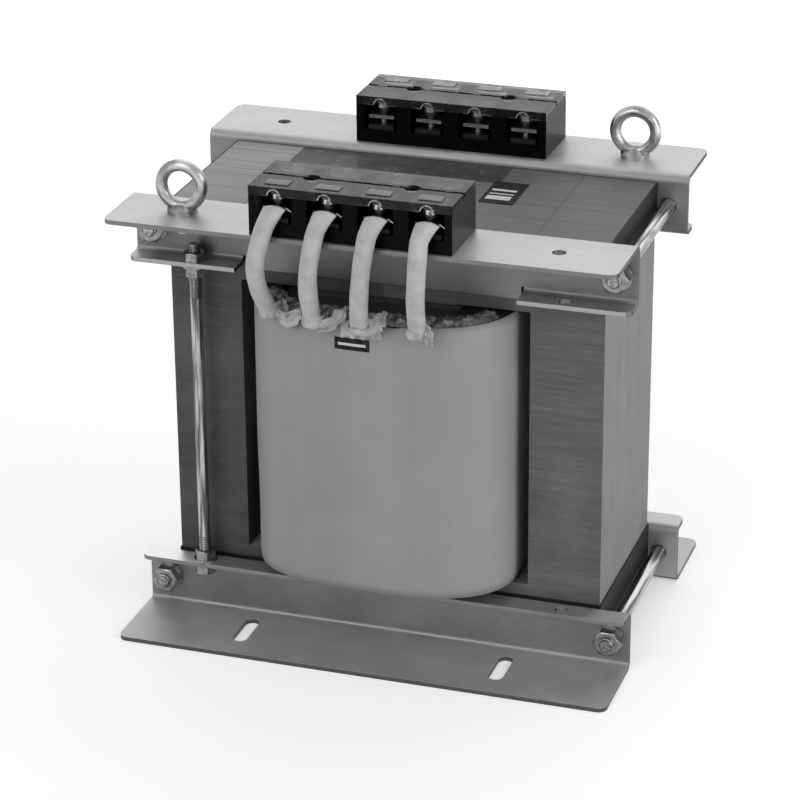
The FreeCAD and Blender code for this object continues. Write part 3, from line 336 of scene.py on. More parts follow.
top = blend(tree, stained, top, shades(tree, spots, (0.4, 0.005), (0.56, 0.022), (0.68, 0.16)))
outer_side = shades(tree, grazed, (0.3, 0.175), (0.5, 0.215), (0.7, 0.26))
# Side faces inside the windows, between the limbs and the coil, are near black: painted shade.
shaded_window_faces = within(tree, axes["X"], 0.0, OUTER_FACE)
side = blend(tree, shaded_window_faces, outer_side, shades(tree, grazed, (0.3, 0.012), (0.7, 0.03)))
seams = 0.0
for where in PACK_SEAMS:
    mark = apply_effect(tree, line, Along=axes["Y"], Place=where, Half_Width=SEAM_HALF)["Mask"]
    seams = calc(tree, "MAXIMUM", seams, mark)
seams = times(tree, seams, calc(tree, "ADD", on_top, times(tree, on_side, 0.6)))
for where in BUTT_JOINTS:
    joint = apply_effect(tree, line, Along=axes["X"], Place=where, Half_Width=SEAM_HALF)["Mask"]
    seams = calc(tree, "MAXIMUM", seams, times(tree, joint, on_top))
colour = blend(tree, on_side, blend(tree, on_top, front, top), side)
colour = blend(tree, times(tree, clouds, 0.45), colour, shades(tree, clouds, (0.35, 0.07), (0.7, 0.3)))
tree.links.new(blend(tree, times(tree, seams, 0.42), colour, 0.03), inputs["Base Color"])
inputs["Metallic"].default_value = 0.2
tree.links.new(shades(tree, clouds, (0.35, 0.5), (0.7, 0.68)), inputs["Roughness"])
inputs["Specular IOR Level"].default_value = 0.3
grain = blend(tree, on_side, blend(tree, on_top, rolled, cuts), grazed)
relief(tree, inputs, blend(tree, seams, grain, 0.0), 0.0002, 0.5)
dress(core_steel, "core_limb_left", "core_limb_right", "core_limb_centre")
dress(core_steel, "core_yoke_top", "core_yoke_bottom")

# Black insulating bands round the yokes: thin pressed board between the steel and the brackets, held
# there as the tie rods clamp the brackets.

band_board, tree, inputs, place = finish("black_band_board")
fibre = streaked(tree, place, (30, 30, 60), (500, 500, 900), 0.5)
tree.links.new(shades(tree, fibre, (0.3, 0.006), (0.7, 0.02)), inputs["Base Color"])
tree.links.new(shades(tree, fibre, (0.3, 0.6), (0.7, 0.8)), inputs["Roughness"])
inputs["Specular IOR Level"].default_value = 0.25
relief(tree, inputs, fibre, 0.0002, 0.4)
dress(band_board, "yoke_band_top", "yoke_band_bottom")

# The coil's inner parts, seen in the recess at each end: a pressboard former on the limb, varnished
# windings, pressboard collars at their ends, and hardwood sticks that keep the cooling duct open.

pressboard, tree, inputs, place = finish("varnished_pressboard")
fibre = streaked(tree, place, (80, 80, 80), (900, 900, 400), 0.5)
tree.links.new(shades(tree, fibre, (0.3, 0.015), (0.7, 0.06)), inputs["Base Color"])
tree.links.new(shades(tree, fibre, (0.3, 0.35), (0.7, 0.6)), inputs["Roughness"])
relief(tree, inputs, fibre, 0.0005, 0.6)
dress(pressboard, "coil_former", "collar_inner_bottom", "collar_inner_top")
dress(pressboard, "collar_outer_bottom", "collar_outer_top")

winding_tape, tree, inputs, place = finish("varnished_winding")
turns = streaked(tree, place, (6, 6, 420), (60, 60, 1400), 0.3)
brown = shades(tree, turns, (0.3, (0.03, 0.025, 0.022)), (0.7, (0.1, 0.085, 0.072)))
tree.links.new(brown, inputs["Base Color"])
inputs["Roughness"].default_value = 0.35
inputs["Coat Weight"].default_value = 0.5
relief(tree, inputs, turns, 0.0006, 0.7)
dress(winding_tape, "winding_inner", "winding_outer")

duct_wood, tree, inputs, place = finish("duct_stick_wood")
grain = streaked(tree, place, (300, 300, 12), (1500, 1500, 40), 0.5)
tan = shades(tree, grain, (0.3, (0.16, 0.12, 0.085)), (0.7, (0.3, 0.235, 0.17)))
tree.links.new(tan, inputs["Base Color"])
inputs["Roughness"].default_value = 0.7
relief(tree, inputs, grain, 0.0002, 0.5)
dress(duct_wood, "duct_spacers")

# The wrap: smooth grey insulating board rolled once round the coil, with its lap at the rear, a
# slightly uneven cut rim, and a deep and a shallow dip at the front between the leads.

COIL_HALF_WIDTH, COIL_HALF_DEPTH = 0.091, 0.111
CORNER, CROWN = 0.052, 0.300
WRAP_FOOT, WRAP_TOP, WRAP_WALL = 0.0525, 0.2465, 0.003
RIM_ROUND, LAP_STEP, LAP_TURN = 0.0006, 0.0009, 0.05
STEPS_PER_ARC = 60
# Each dip in the front of the rim: its depth, its place across and its half width.
RIM_DIPS = ((0.0065, -0.047, 0.0085), (0.0018, 0.021, 0.006))


def coil_outline(count):
    """Places and outward directions at equal steps round the coil.

    The outline is a shallow crown arc at the front and rear, quarter arcs at four corners and a
    flat at each side. Each arc is its centre plus its radius along the outward direction; the
    arcs are joined in order and the whole is read at equal lengths, starting at the rear middle.
    """
    corner_x = COIL_HALF_WIDTH - CORNER
    crown_y = CROWN - COIL_HALF_DEPTH
    corner_y = math.sqrt((CROWN - CORNER) ** 2 - corner_x ** 2) - crown_y
    swing = math.asin(corner_x / (CROWN - CORNER))
    quarter = math.pi / 2
    runs = [
        (0, -crown_y, CROWN, 0, swing),
        (corner_x, corner_y, CORNER, swing, quarter),
        (corner_x, -corner_y, CORNER, quarter, math.pi - swing),
        (0, crown_y, CROWN, math.pi - swing, math.pi + swing),
        (-corner_x, -corner_y, CORNER, math.pi + swing, 3 * quarter),
        (-corner_x, corner_y, CORNER, 3 * quarter, 4 * quarter - swing),
        (0, -crown_y, CROWN, 4 * quarter - swing, 4 * quarter),
    ]
    turns, places = [], []
    for centre_x, centre_y, radius, start, end in runs:
        turn = np.linspace(start, end, STEPS_PER_ARC)
        turns.append(turn)
        out = np.stack([np.sin(turn), np.cos(turn)], axis=1)
        places.append(np.array([centre_x, centre_y]) + radius * out)
    turn, place = np.concatenate(turns), np.concatenate(places)
    length = np.concatenate([[0], np.cumsum(np.linalg.norm(np.diff(place, axis=0), axis=1))])
    steps = np.linspace(0, length[-1], count, endpoint=False)
    turn = np.interp(steps, length, turn)
    x, y = np.interp(steps, length, place[:, 0]), np.interp(steps, length, place[:, 1])
    return np.stack([x, y], axis=1), np.stack([np.sin(turn), np.cos(turn)], axis=1)


def grid_faces(rows, columns, close_rows=False, close_columns=False):
    """Quads between neighbours of a grid of points, with either direction closed on itself."""
    row = np.arange(rows if close_rows else rows - 1)[:, None]
    column = np.arange(columns if close_columns else columns - 1)[None, :]
    next_row, next_column = (row + 1) % rows, (column + 1) % columns
    here, there = row * columns, next_row * columns
    faces = [here + column, here + next_column, there + next_column, there + column]
    return np.stack(np.broadcast_arrays(*faces), axis=-1).reshape(-1, 4)


def waves(seed, count, low, high, *axes):
    """A sum of sines of random direction and phase over the given arrays, mostly within 1."""
    dice = np.random.default_rng(seed)
    total = 0
    for _ in range(count):
        pitches = dice.uniform(low, high, len(axes)) * dice.choice([-1, 1], len(axes))
        phase = sum(pitch * axis for pitch, axis in zip(pitches, axes))
        total = total + np.sin(phase + dice.uniform(0, 2 * math.pi))
    return total / math.sqrt(count)


# The wrap is a grid of steps round the coil by steps up its outside and down its inside. The rim and
# the foot wave a little and are rounded, and the board stands out at the lap and swells slightly.
around, over = 720, 64
edge, out = coil_outline(around)
turned = 2 * math.pi * np.arange(around) / around
dips = sum(depth * np.exp(-((edge[:, 0] - middle) / half) ** 2) for depth, middle, half in RIM_DIPS)
dips = np.where(edge[:, 1] < 0, dips, 0)
rim = WRAP_TOP - dips + 0.0004 * waves(3, 6, 3, 14, turned)
foot = WRAP_FOOT - 0.0003 * waves(4, 6, 3, 12, turned)
wall = np.concatenate([np.linspace(0, 1, over // 2), np.linspace(1, 0, over // 2)])[:, None]
inner = np.concatenate([np.zeros(over // 2), np.ones(over // 2)])[:, None]
rounding = RIM_ROUND * (np.maximum(0, 1 - wall * 60) + np.maximum(0, 1 - (1 - wall) * 60))
height = foot + (rim - foot) * wall
lap = LAP_STEP * np.maximum(0, 1 - turned / LAP_TURN)
swell = 0.00025 * waves(5, 5, 1, 4, turned + 0 * wall, 3 * wall + 0 * turned)
inset = WRAP_WALL * inner + np.where(inner > 0, -rounding, rounding) - lap * (1 - inner) - swell
points = np.empty((over, around, 3))
points[..., :2] = edge - out * inset[..., None]
points[..., 2] = height
faces = grid_faces(over, around, close_rows=True, close_columns=True)
wrap = set_mesh("wrap_board", points, faces[:, ::-1])

wrap_board, tree, inputs, place = finish("wrap_board")
mottle = noise(tree, place, 9.0, 7.0, 0.62)
bands = streaked(tree, place, (16, 16, 0.5), (160, 160, 3), 0.25)
tone = calc(tree, "ADD", times(tree, mottle, 0.55), times(tree, bands, 0.45))
tree.links.new(shades(tree, tone, (0.36, 0.30), (0.5, 0.335), (0.64, 0.37)), inputs["Base Color"])
tree.links.new(shades(tree, mottle, (0.35, 0.5), (0.65, 0.64)), inputs["Roughness"])
inputs["Specular IOR Level"].default_value = 0.4
fuzz = noise(tree, place, 700.0, 2.0)
grain = calc(tree, "ADD", times(tree, bands, 0.7), times(tree, fuzz, 0.1))
relief(tree, inputs, grain, 0.0004, 0.5)
wrap.data.materials.append(wrap_board)
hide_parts("coil_wrap")
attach(wrap, "root")

# Paper ends: the layer insulation of the coil stands up past the collars as crumpled, varnished
# strips, so the recess inside the rim looks ragged and dark with a few paler folds.

PAPER_STEPS, PAPER_ROWS = 900, 22
PAPER_OUTSIDE, PAPER_INSIDE, PAPER_FOOT = 0.0036, 0.021, 0.2448


def crumpled_ring(name, seed, first, last, inset_outer, inset_inner, low, high):
    """A ring of creased paper between two insets from the coil's outline, for a share of its length.

    Height is a base level plus folded waves, sharpened by taking the distance from their zero
    lines, so creases stand as ridges.
    """
    edge, out = coil_outline(PAPER_STEPS)
    columns = np.arange(int(first * PAPER_STEPS), int(last * PAPER_STEPS)) % PAPER_STEPS
    edge, out = edge[columns], out[columns]
    across = np.linspace(0, 1, PAPER_ROWS)[:, None]
    along = np.arange(len(columns))[None, :] * 0.18
    fold = 1 - np.abs(waves(seed, 4, 0.35, 1.1, along, across * 9)) / 1.6
    crease = 1 - np.abs(waves(seed + 1, 4, 0.9, 2.6, along, across * 6)) / 1.6
    rise = np.clip(0.6 * fold + 0.4 * crease, 0, 1) * np.sin(np.pi * np.clip(across * 1.1, 0, 1)) ** 0.35
    inset = inset_outer + (inset_inner - inset_outer) * across
    inset = inset + 0.0011 * waves(seed + 2, 3, 0.3, 0.9, along, across * 5)
    points = np.empty((PAPER_ROWS, len(columns), 3))
    points[..., :2] = edge - out * inset[..., None]
    points[..., 2] = low + (high - low) * rise
    return set_mesh(name, points, grid_faces(PAPER_ROWS, len(columns))[:, ::-1])


def thicken(piece, thickness, side):
    """Gives a sheet its thickness, on its back (-1), on its front (1) or half on each (0)."""
    solid = piece.modifiers.new("thickness", "SOLIDIFY")
    solid.thickness = thickness
    solid.offset = side


paper_ends, tree, inputs, place = finish("varnished_paper")
patch = noise(tree, place, 170.0, 6.0, 0.7)
tree.links.new(shades(tree, patch, (0.36, 0.02), (0.48, 0.12), (0.6, 0.33)), inputs["Base Color"])
inputs["Roughness"].default_value = 0.5
relief(tree, inputs, patch, 0.0008, 0.7)
for name, seed, first, last, top in (
    ("paper_front", 11, 0.36, 0.64, 0.2505),
    ("paper_rear", 21, 0.86, 1.14, 0.2500),
):
    strip = crumpled_ring(name, seed, first, last, PAPER_OUTSIDE, PAPER_INSIDE, PAPER_FOOT, top)
    strip.data.materials.append(paper_ends)
    thicken(strip, 0.0003, -1.0)
    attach(strip, "root")

# The brackets: four lengths of galvanised sheet, folded with a lip and a flange, punched and
# clamped to the core by the tie rods. The zinc shows faint flow marks and dull clouds; the sheared
# ends are darker and the folds catch the light. Light and shade are painted into the zinc's grey:
# upward faces are painted lighter than the upright webs, and the webs lighter low down and at the
# rear; the left ends of the feet's lips and the upper lips' outer edges get painted light, and the
# tops of the upper lips a painted shadow.

# Heights that tell the brackets' parts apart: the feet's edges, flanges and lips, the lower half of the
# part, and the upper half, its lips and its flanges.
FOOT_EDGE, FOOT_FLANGE, FOOT_LIP, LOWER_HALF = 0.0029, 0.01, 0.04, 0.1
UPPER_HALF, TOP_LIP, TOP_FLANGE = 0.2, 0.2606, 0.3
# How far the lips' tips stand from the middle, how far the painted shadow on the upper lips' tops
# reaches sideways, and where the painted light on the left end of the feet's lips begins.
LIP_TIP, SHADOW_REACH, LIT_FROM = 0.086, 0.156, -0.122

galvanised, tree, inputs, place = finish("galvanised_sheet")
flow = streaked(tree, place, (9, 34, 34), (110, 420, 420), 0.35)
clouds = noise(tree, place, 26.0, 5.0, 0.6)
face = facing(tree)
axes = parts(tree, place)
edge_of_foot = times(tree, below(tree, axes["Z"], FOOT_EDGE), below(tree, face["Z"], 0.5))
sheared = calc(tree, "MAXIMUM", beyond(tree, calc(tree, "ABSOLUTE", face["X"]), 0.9), edge_of_foot)
tone = calc(tree, "ADD", times(tree, flow, 0.5), times(tree, clouds, 0.5))
# Greys of painted light for upward faces and painted shade for upright webs; the last, a painted shadow.
lit_zinc = shades(tree, tone, (0.36, 0.36), (0.5, 0.42), (0.64, 0.48))
shaded_webs = shades(tree, tone, (0.34, 0.14), (0.5, 0.185), (0.66, 0.24))
paler_web_shade = shades(tree, tone, (0.34, 0.18), (0.5, 0.235), (0.66, 0.3))
lit_lower_tops = shades(tree, tone, (0.34, 0.36), (0.5, 0.42), (0.66, 0.49))
shadow = shades(tree, tone, (0.34, 0.02), (0.66, 0.045))
upward = add_node(tree, "ShaderNodeMapRange", Value=face["Z"], From_Min=0.5, From_Max=0.98).outputs[0]
low = below(tree, axes["Z"], LOWER_HALF)
high = beyond(tree, axes["Z"], UPPER_HALF)
rear = beyond(tree, axes["Y"], 0.0)
webs = blend(tree, calc(tree, "MAXIMUM", low, rear), shaded_webs, paler_web_shade)
webs = blend(tree, times(tree, low, rear), webs, lit_zinc)
zinc = blend(tree, upward, webs, blend(tree, beyond(tree, axes["Z"], TOP_FLANGE), lit_lower_tops, lit_zinc))
# The upper lips' tops, under the flanges, get a painted shadow.
inboard = within(tree, axes["X"], 0.0, SHADOW_REACH)
shadowed_lip_top = times(tree, high, below(tree, axes["Z"], TOP_LIP), inboard, upward)
# The left ends of the feet's lips, out of the limbs' shade, are painted light.
left_end = below(tree, axes["X"], LIT_FROM)
lit_lip_end = times(tree, left_end, low, beyond(tree, axes["Z"], FOOT_LIP), upward)
zinc = blend(tree, lit_lip_end, zinc, 0.72)
zinc = blend(tree, shadowed_lip_top, zinc, shadow)
# The upper lips' outer edges get a painted highlight.
tip_face = beyond(tree, calc(tree, "ABSOLUTE", face["Y"]), 0.9)
lit_tips = times(tree, tip_face, within(tree, calc(tree, "ABSOLUTE", axes["Y"]), LIP_TIP, 0.0005), high)
zinc = blend(tree, lit_tips, zinc, 0.36)
edge_grey = blend(tree, edge_of_foot, 0.006, 0.07)
tree.links.new(blend(tree, sheared, zinc, edge_grey), inputs["Base Color"])
foot_face = times(tree, upward, below(tree, axes["Z"], FOOT_FLANGE), 0.5)
plain = calc(tree, "MAXIMUM", foot_face, calc(tree, "MAXIMUM", sheared, shadowed_lip_top))
tree.links.new(calc(tree, "SUBTRACT", 0.75, times(tree, plain, 0.7)), inputs["Metallic"])
tree.links.new(shades(tree, clouds, (0.35, 0.38), (0.65, 0.52)), inputs["Roughness"])
soft_edge = add_node(tree, "ShaderNodeBevel", samples=4, Radius=0.0006).outputs[0]
rough = add_node(tree, "ShaderNodeBump", Height=flow, Strength=0.35, Distance=0.0002, Normal=soft_edge)
tree.links.new(rough.outputs[0], inputs["Normal"])
dress(galvanised, "bracket_foot_front", "bracket_foot_rear", "bracket_top_front", "bracket_top_rear")

# Rods: bright zinc-plated steel. The tie rods and uprights have a smooth shank and rolled threads
# at their ends, a little darker where the thread holds shade. The shank's strong lengthwise streaks
# are drawn marks and painted reflections.

# Thread: rings of a pitch along an axis, as a height from 0 in the root to 1 on the crest.
thread, entry, leave = effect("thread", {"Along": "value", "Pitch": "value"}, {"Height": "value"})
turned = calc(thread, "DIVIDE", entry.outputs["Along"], entry.outputs["Pitch"])
wave = calc(thread, "SINE", times(thread, turned, 2 * math.pi))
crest = calc(thread, "ADD", times(thread, wave, 0.5), 0.5)
thread.links.new(crest, leave.inputs["Height"])


def rod_finish(name, axis, ends, pitch, grey=0.4):
    """Plated rod whose thread runs beyond the two given places along its axis."""
    material, tree, inputs, place = finish(name)
    along = parts(tree, place)[axis]
    past_low = below(tree, along, ends[0])
    threaded = calc(tree, "MAXIMUM", past_low, beyond(tree, along, ends[1]))
    turns = apply_effect(tree, thread, Along=along, Pitch=pitch)["Height"]
    scales = {"Y": (500, 20, 500), "Z": (500, 500, 20)}[axis]
    # Lengthwise streaks: drawn marks, and painted reflection stripes as on a shiny rod.
    drawn_marks_and_reflection = streaked(tree, place, scales, scales, 0.5)
    shank = shades(tree, drawn_marks_and_reflection, (0.42, grey * 0.25), (0.5, grey * 0.7), (0.58, grey * 1.25))
    cut = blend(tree, 0.5, shank, shades(tree, turns, (0.1, 0.05), (0.9, 0.3)))
    tree.links.new(blend(tree, threaded, shank, cut), inputs["Base Color"])
    inputs["Metallic"].default_value = 0.95
    tree.links.new(shades(tree, drawn_marks_and_reflection, (0.3, 0.16), (0.7, 0.26)), inputs["Roughness"])
    relief(tree, inputs, times(tree, threaded, turns), 0.0005, 0.8)
    return material


tie_rod_zinc = rod_finish("tie_rod_zinc", "Y", (-0.064, 0.064), 0.0015)
dress(tie_rod_zinc, "tie_rod_bottom_left", "tie_rod_bottom_right", "tie_rod_top_left", "tie_rod_top_right")
upright_zinc = rod_finish("upright_zinc", "Z", (0.062, 0.237), 0.00125)
dress(upright_zinc, "upright_rod_front_left", "upright_rod_rear_right")

plated, tree, inputs, place = finish("plated_fasteners")
cloudy = noise(tree, place, 240.0, 4.0, 0.6)
tree.links.new(shades(tree, cloudy, (0.38, 0.19), (0.62, 0.33)), inputs["Base Color"])
inputs["Metallic"].default_value = 0.95
tree.links.new(shades(tree, cloudy, (0.38, 0.14), (0.62, 0.24)), inputs["Roughness"])
soft_edge = add_node(tree, "ShaderNodeBevel", samples=4, Radius=0.0004)
tree.links.new(soft_edge.outputs[0], inputs["Normal"])
dress(plated, "tie_rod_nuts", "tie_rod_washers", "upright_rod_nuts", "upright_rod_washers")
dress(plated, "eyebolt_nuts", "eyebolt_washers", "terminal_fixing_nuts")

# Eyebolts: drop-forged and zinc-plated, each held in its flange by a nut and washers. The ring is
# slightly pitted under its shine.

forged, tree, inputs, place = finish("forged_zinc")
pits = noise(tree, place, 330.0, 5.0, 0.65)
lumps = noise(tree, place, 90.0, 2.0)
tree.links.new(shades(tree, lumps, (0.36, 0.26), (0.5, 0.38), (0.64, 0.5)), inputs["Base Color"])
inputs["Metallic"].default_value = 0.95
tree.links.new(shades(tree, lumps, (0.35, 0.2), (0.65, 0.36)), inputs["Roughness"])
relief(tree, inputs, calc(tree, "ADD", times(tree, pits, 0.15), lumps), 0.0012, 0.45)
dress(forged, "eyebolt_front_left", "eyebolt_rear_right")

# Terminal blocks: black thermoset bodies with glossy faces, smoked clear lids over the cells, bars and
# clamps inside, and blank marking tags on the lids. A thin bright bead round each arch of the lids is a
# painted highlight on the arch's rim.

BODY_REACH = 0.0645
block_black, tree, inputs, place = finish("black_thermoset")
flecks = noise(tree, place, 420.0, 3.0)
axes = parts(tree, place)
sideways = beyond(tree, calc(tree, "ABSOLUTE", facing(tree)["X"]), 0.9)
at_end = beyond(tree, calc(tree, "ABSOLUTE", axes["X"]), BODY_REACH)
# The front block's end faces are painted lighter than the rest of the black: painted light.
front_ends = times(tree, sideways, at_end, below(tree, axes["Y"], 0.0))
black = shades(tree, flecks, (0.3, 0.002), (0.7, 0.005))
lit_end_grey = shades(tree, flecks, (0.3, 0.03), (0.7, 0.05))
tree.links.new(blend(tree, front_ends, black, lit_end_grey), inputs["Base Color"])
tree.links.new(shades(tree, flecks, (0.3, 0.22), (0.7, 0.34)), inputs["Roughness"])
inputs["IOR"].default_value = 1.3
inputs["Specular IOR Level"].default_value = 0.1
relief(tree, inputs, flecks, 0.0002, 0.1)
dress(block_black, "terminal_body_front", "terminal_body_rear")

smoked, tree, inputs, place = finish("smoked_lid")
haze = noise(tree, place, 70.0, 4.0)
scuffs = streaked(tree, place, (25, 300, 60), (200, 1500, 400), 0.5)
tree.links.new(shades(tree, haze, (0.35, 0.13), (0.65, 0.26)), inputs["Base Color"])
inputs["Transmission Weight"].default_value = 0.92
inputs["Specular IOR Level"].default_value = 0.12
inputs["IOR"].default_value = 1.2
tree.links.new(shades(tree, scuffs, (0.35, 0.02), (0.65, 0.1)), inputs["Roughness"])
dress(smoked, "terminal_lid_outer_front", "terminal_lid_outer_rear")
dress(smoked, "terminal_lid_inner_front", "terminal_lid_inner_rear")

tag_card, tree, inputs, place = finish("blank_tag")
axes = parts(tree, place)
worn = noise(tree, place, 160.0, 4.0)
# Tags on the rear block are darker than those on the front.
at_rear = beyond(tree, axes["Y"], 0.0)
darker_rear_tags = shades(tree, worn, (0.35, 0.07), (0.65, 0.15))
lighter_front_tags = shades(tree, worn, (0.35, 0.17), (0.65, 0.36))
tree.links.new(blend(tree, at_rear, darker_rear_tags, lighter_front_tags), inputs["Base Color"])
inputs["Roughness"].default_value = 0.45
dress(tag_card, "terminal_tags_front", "terminal_tags_rear")

contacts, tree, inputs, place = finish("plated_contacts")
brushed = streaked(tree, place, (60, 700, 300), (300, 2000, 900), 0.5)
tree.links.new(shades(tree, brushed, (0.3, 0.4), (0.7, 0.7)), inputs["Base Color"])
inputs["Metallic"].default_value = 0.95
tree.links.new(shades(tree, brushed, (0.3, 0.2), (0.7, 0.36)), inputs["Roughness"])
dress(contacts, "terminal_screws_front", "terminal_screws_rear", "terminal_fixing_screws")

clamp_zinc, tree, inputs, place = finish("ribbed_clamps")
axes = parts(tree, place)
ribs = apply_effect(tree, thread, Along=axes["Z"], Pitch=0.0009)["Height"]
# The front block's clamps are darker than the rear's: painted shade and dirt.
at_front = below(tree, axes["Y"], 0.0)
grey = shades(tree, ribs, (0.2, 0.05), (0.8, 0.17))
tree.links.new(blend(tree, times(tree, at_front, 0.75), grey, 0.01), inputs["Base Color"])
inputs["Metallic"].default_value = 0.9
inputs["Roughness"].default_value = 0.4
relief(tree, inputs, ribs, 0.0003, 0.6)
dress(clamp_zinc, "terminal_clamps_front", "terminal_clamps_rear")

dull_bars, tree, inputs, place = finish("dull_bars")
tarnish = noise(tree, place, 300.0, 3.0)
tree.links.new(shades(tree, tarnish, (0.35, 0.005), (0.65, 0.018)), inputs["Base Color"])
inputs["Metallic"].default_value = 0.4
inputs["Roughness"].default_value = 0.5
dress(dull_bars, "terminal_bars_front", "terminal_bars_rear")

ARCH_RADIUS, ARCH_LEVEL, BEAD = 0.0045, 0.331, 0.0006
ARCH_STEPS, BEAD_SIDES = 25, 10
POLE_PITCH = 0.034
POLES = POLE_PITCH * (np.arange(4) - 1.5)
# Each row of cells: how far it is shifted sideways, its face, and the way in.
ROWS_OF_CELLS = ((-0.003, -0.1225, 1), (-0.003, -0.072, -1), (0.003, 0.072, 1), (0.003, 0.1225, -1))


def arch_bead(centre_x, face_y, inward):
    """A half ring round a lid's arch: a thin round bead swept over half a turn about the arch's centre.

    The bead shrinks to a point at each end, and stands just inside the lid's face. It is a painted
    highlight on the arch's rim.
    """
    turn = np.linspace(0, np.pi, ARCH_STEPS)[:, None]
    around = 2 * np.pi * np.arange(BEAD_SIDES)[None, :] / BEAD_SIDES
    bead = BEAD * np.where((turn > 0) & (turn < np.pi), 1, 0.001)
    reach = ARCH_RADIUS + bead * np.cos(around)
    y = face_y + inward * (1.02 * BEAD + bead * np.sin(around))
    x = centre_x + inward * reach * np.cos(turn)
    return np.stack(np.broadcast_arrays(x, y, ARCH_LEVEL + reach * np.sin(turn)), axis=-1)


def set_tubes(name, tubes):
    """One piece from several closed tubes, each a grid of rings by sides of the same size."""
    rings, sides = tubes[0].shape[:2]
    faces = grid_faces(rings, sides, close_columns=True)
    faces = (faces[None] + rings * sides * np.arange(len(tubes))[:, None, None]).reshape(-1, 4)
    return set_mesh(name, np.stack(tubes), faces, closed=True)


beads = []
for shift, face_y, inward in ROWS_OF_CELLS:
    beads += [arch_bead(shift + pole, face_y, inward) for pole in POLES]
glint_rims = set_tubes("arch_glint_beads", beads)
# The beads' bright, patchy grey is a painted highlight.
rim_glint_finish, tree, inputs, place = finish("painted_rim_glint")
glint_patches = noise(tree, place, 500.0, 3.0)
tree.links.new(shades(tree, glint_patches, (0.4, 0.4), (0.52, 0.9)), inputs["Base Color"])
inputs["Metallic"].default_value = 0.6
inputs["Roughness"].default_value = 0.15
glint_rims.data.materials.append(rim_glint_finish)
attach(glint_rims, "root")

# Leads: stranded wires in thick woven glass sleeves. Each leaves the wrap's rim, stands out past the
# flange and bends back to its cell, where the sleeve's end is pressed flat and the bare strands go on
# under the clamp.

SLEEVE, SLEEVE_WALL = 0.006, 0.0012
SLEEVE_RINGS, SLEEVE_SIDES, TURNED_IN = 150, 48, 26
WIRE_LEVEL, BLOCK_FACE, FLANGE_EDGE = 0.3181, -0.1225, -0.1255
LEAD_FOOT = WRAP_TOP - 0.003
# Each lead's place across at its cell, halfway and at its foot.
CELLS = np.array([-0.054, -0.020, 0.014, 0.048])
MIDWAYS = np.array([-0.0645, -0.0283, 0.007, 0.044])
FEET = np.array([-0.064, -0.0315, 0.001, 0.0395])


def coil_front(x, gap=0.0):
    """How far the wrap's front stands from the middle plane, plus a gap measured outwards."""
    corner_x = COIL_HALF_WIDTH - CORNER
    crown_y = CROWN - COIL_HALF_DEPTH
    corner_y = math.sqrt((CROWN - CORNER) ** 2 - corner_x ** 2) - crown_y
    crown = np.sqrt((CROWN + gap) ** 2 - x ** 2) - crown_y
    beside = np.clip(np.abs(x) - corner_x, 0, CORNER + gap)
    corner = corner_y + np.sqrt((CORNER + gap) ** 2 - beside ** 2)
    return np.where(np.abs(x) < CROWN * corner_x / (CROWN - CORNER), crown, corner)


def follow(points, count):
    """Equal steps along the smooth NURBS line of these control points."""
    curve = bpy.data.curves.new("route", "CURVE")
    curve.dimensions = "3D"
    spline = curve.splines.new("NURBS")
    spline.points.add(len(points) - 1)
    weighted = np.column_stack([np.asarray(points, float), np.ones(len(points))])
    spline.points.foreach_set("co", weighted.ravel())
    spline.use_endpoint_u = True
    spline.order_u = 3
    spline.resolution_u = 24
    mesh = bpy.data.meshes.new_from_object(bpy.data.objects.new("route", curve))
    line = np.empty(3 * len(mesh.vertices))
    mesh.vertices.foreach_get("co", line)
    line = line.reshape(-1, 3)
    length = np.concatenate([[0], np.cumsum(np.linalg.norm(np.diff(line, axis=0), axis=1))])
    steps = np.linspace(0, length[-1], count)
    return np.stack([np.interp(steps, length, line[:, axis]) for axis in range(3)], axis=1)


def tube(path, radii, sides=SLEEVE_SIDES):
    """Rings of points round a path: each ring is square to the path, with its radius per ring or point.

    The ring's first axis is the X direction less its part along the path, so rings never twist.
    """
    ahead = np.gradient(path, axis=0)
    ahead /= np.maximum(np.linalg.norm(ahead, axis=1, keepdims=True), 1e-9)
    first = np.array([1.0, 0, 0]) - ahead[:, :1] * ahead
    first /= np.linalg.norm(first, axis=1, keepdims=True)
    second = np.cross(ahead, first)
    turn = 2 * np.pi * np.arange(sides) / sides
    radii = np.broadcast_to(np.asarray(radii, float).reshape(len(path), -1), (len(path), sides))
    across = np.cos(turn)[None, :, None] * first[:, None] + np.sin(turn)[None, :, None] * second[:, None]
    return path[:, None] + radii[..., None] * across


TIP_RADIUS = 1e-6


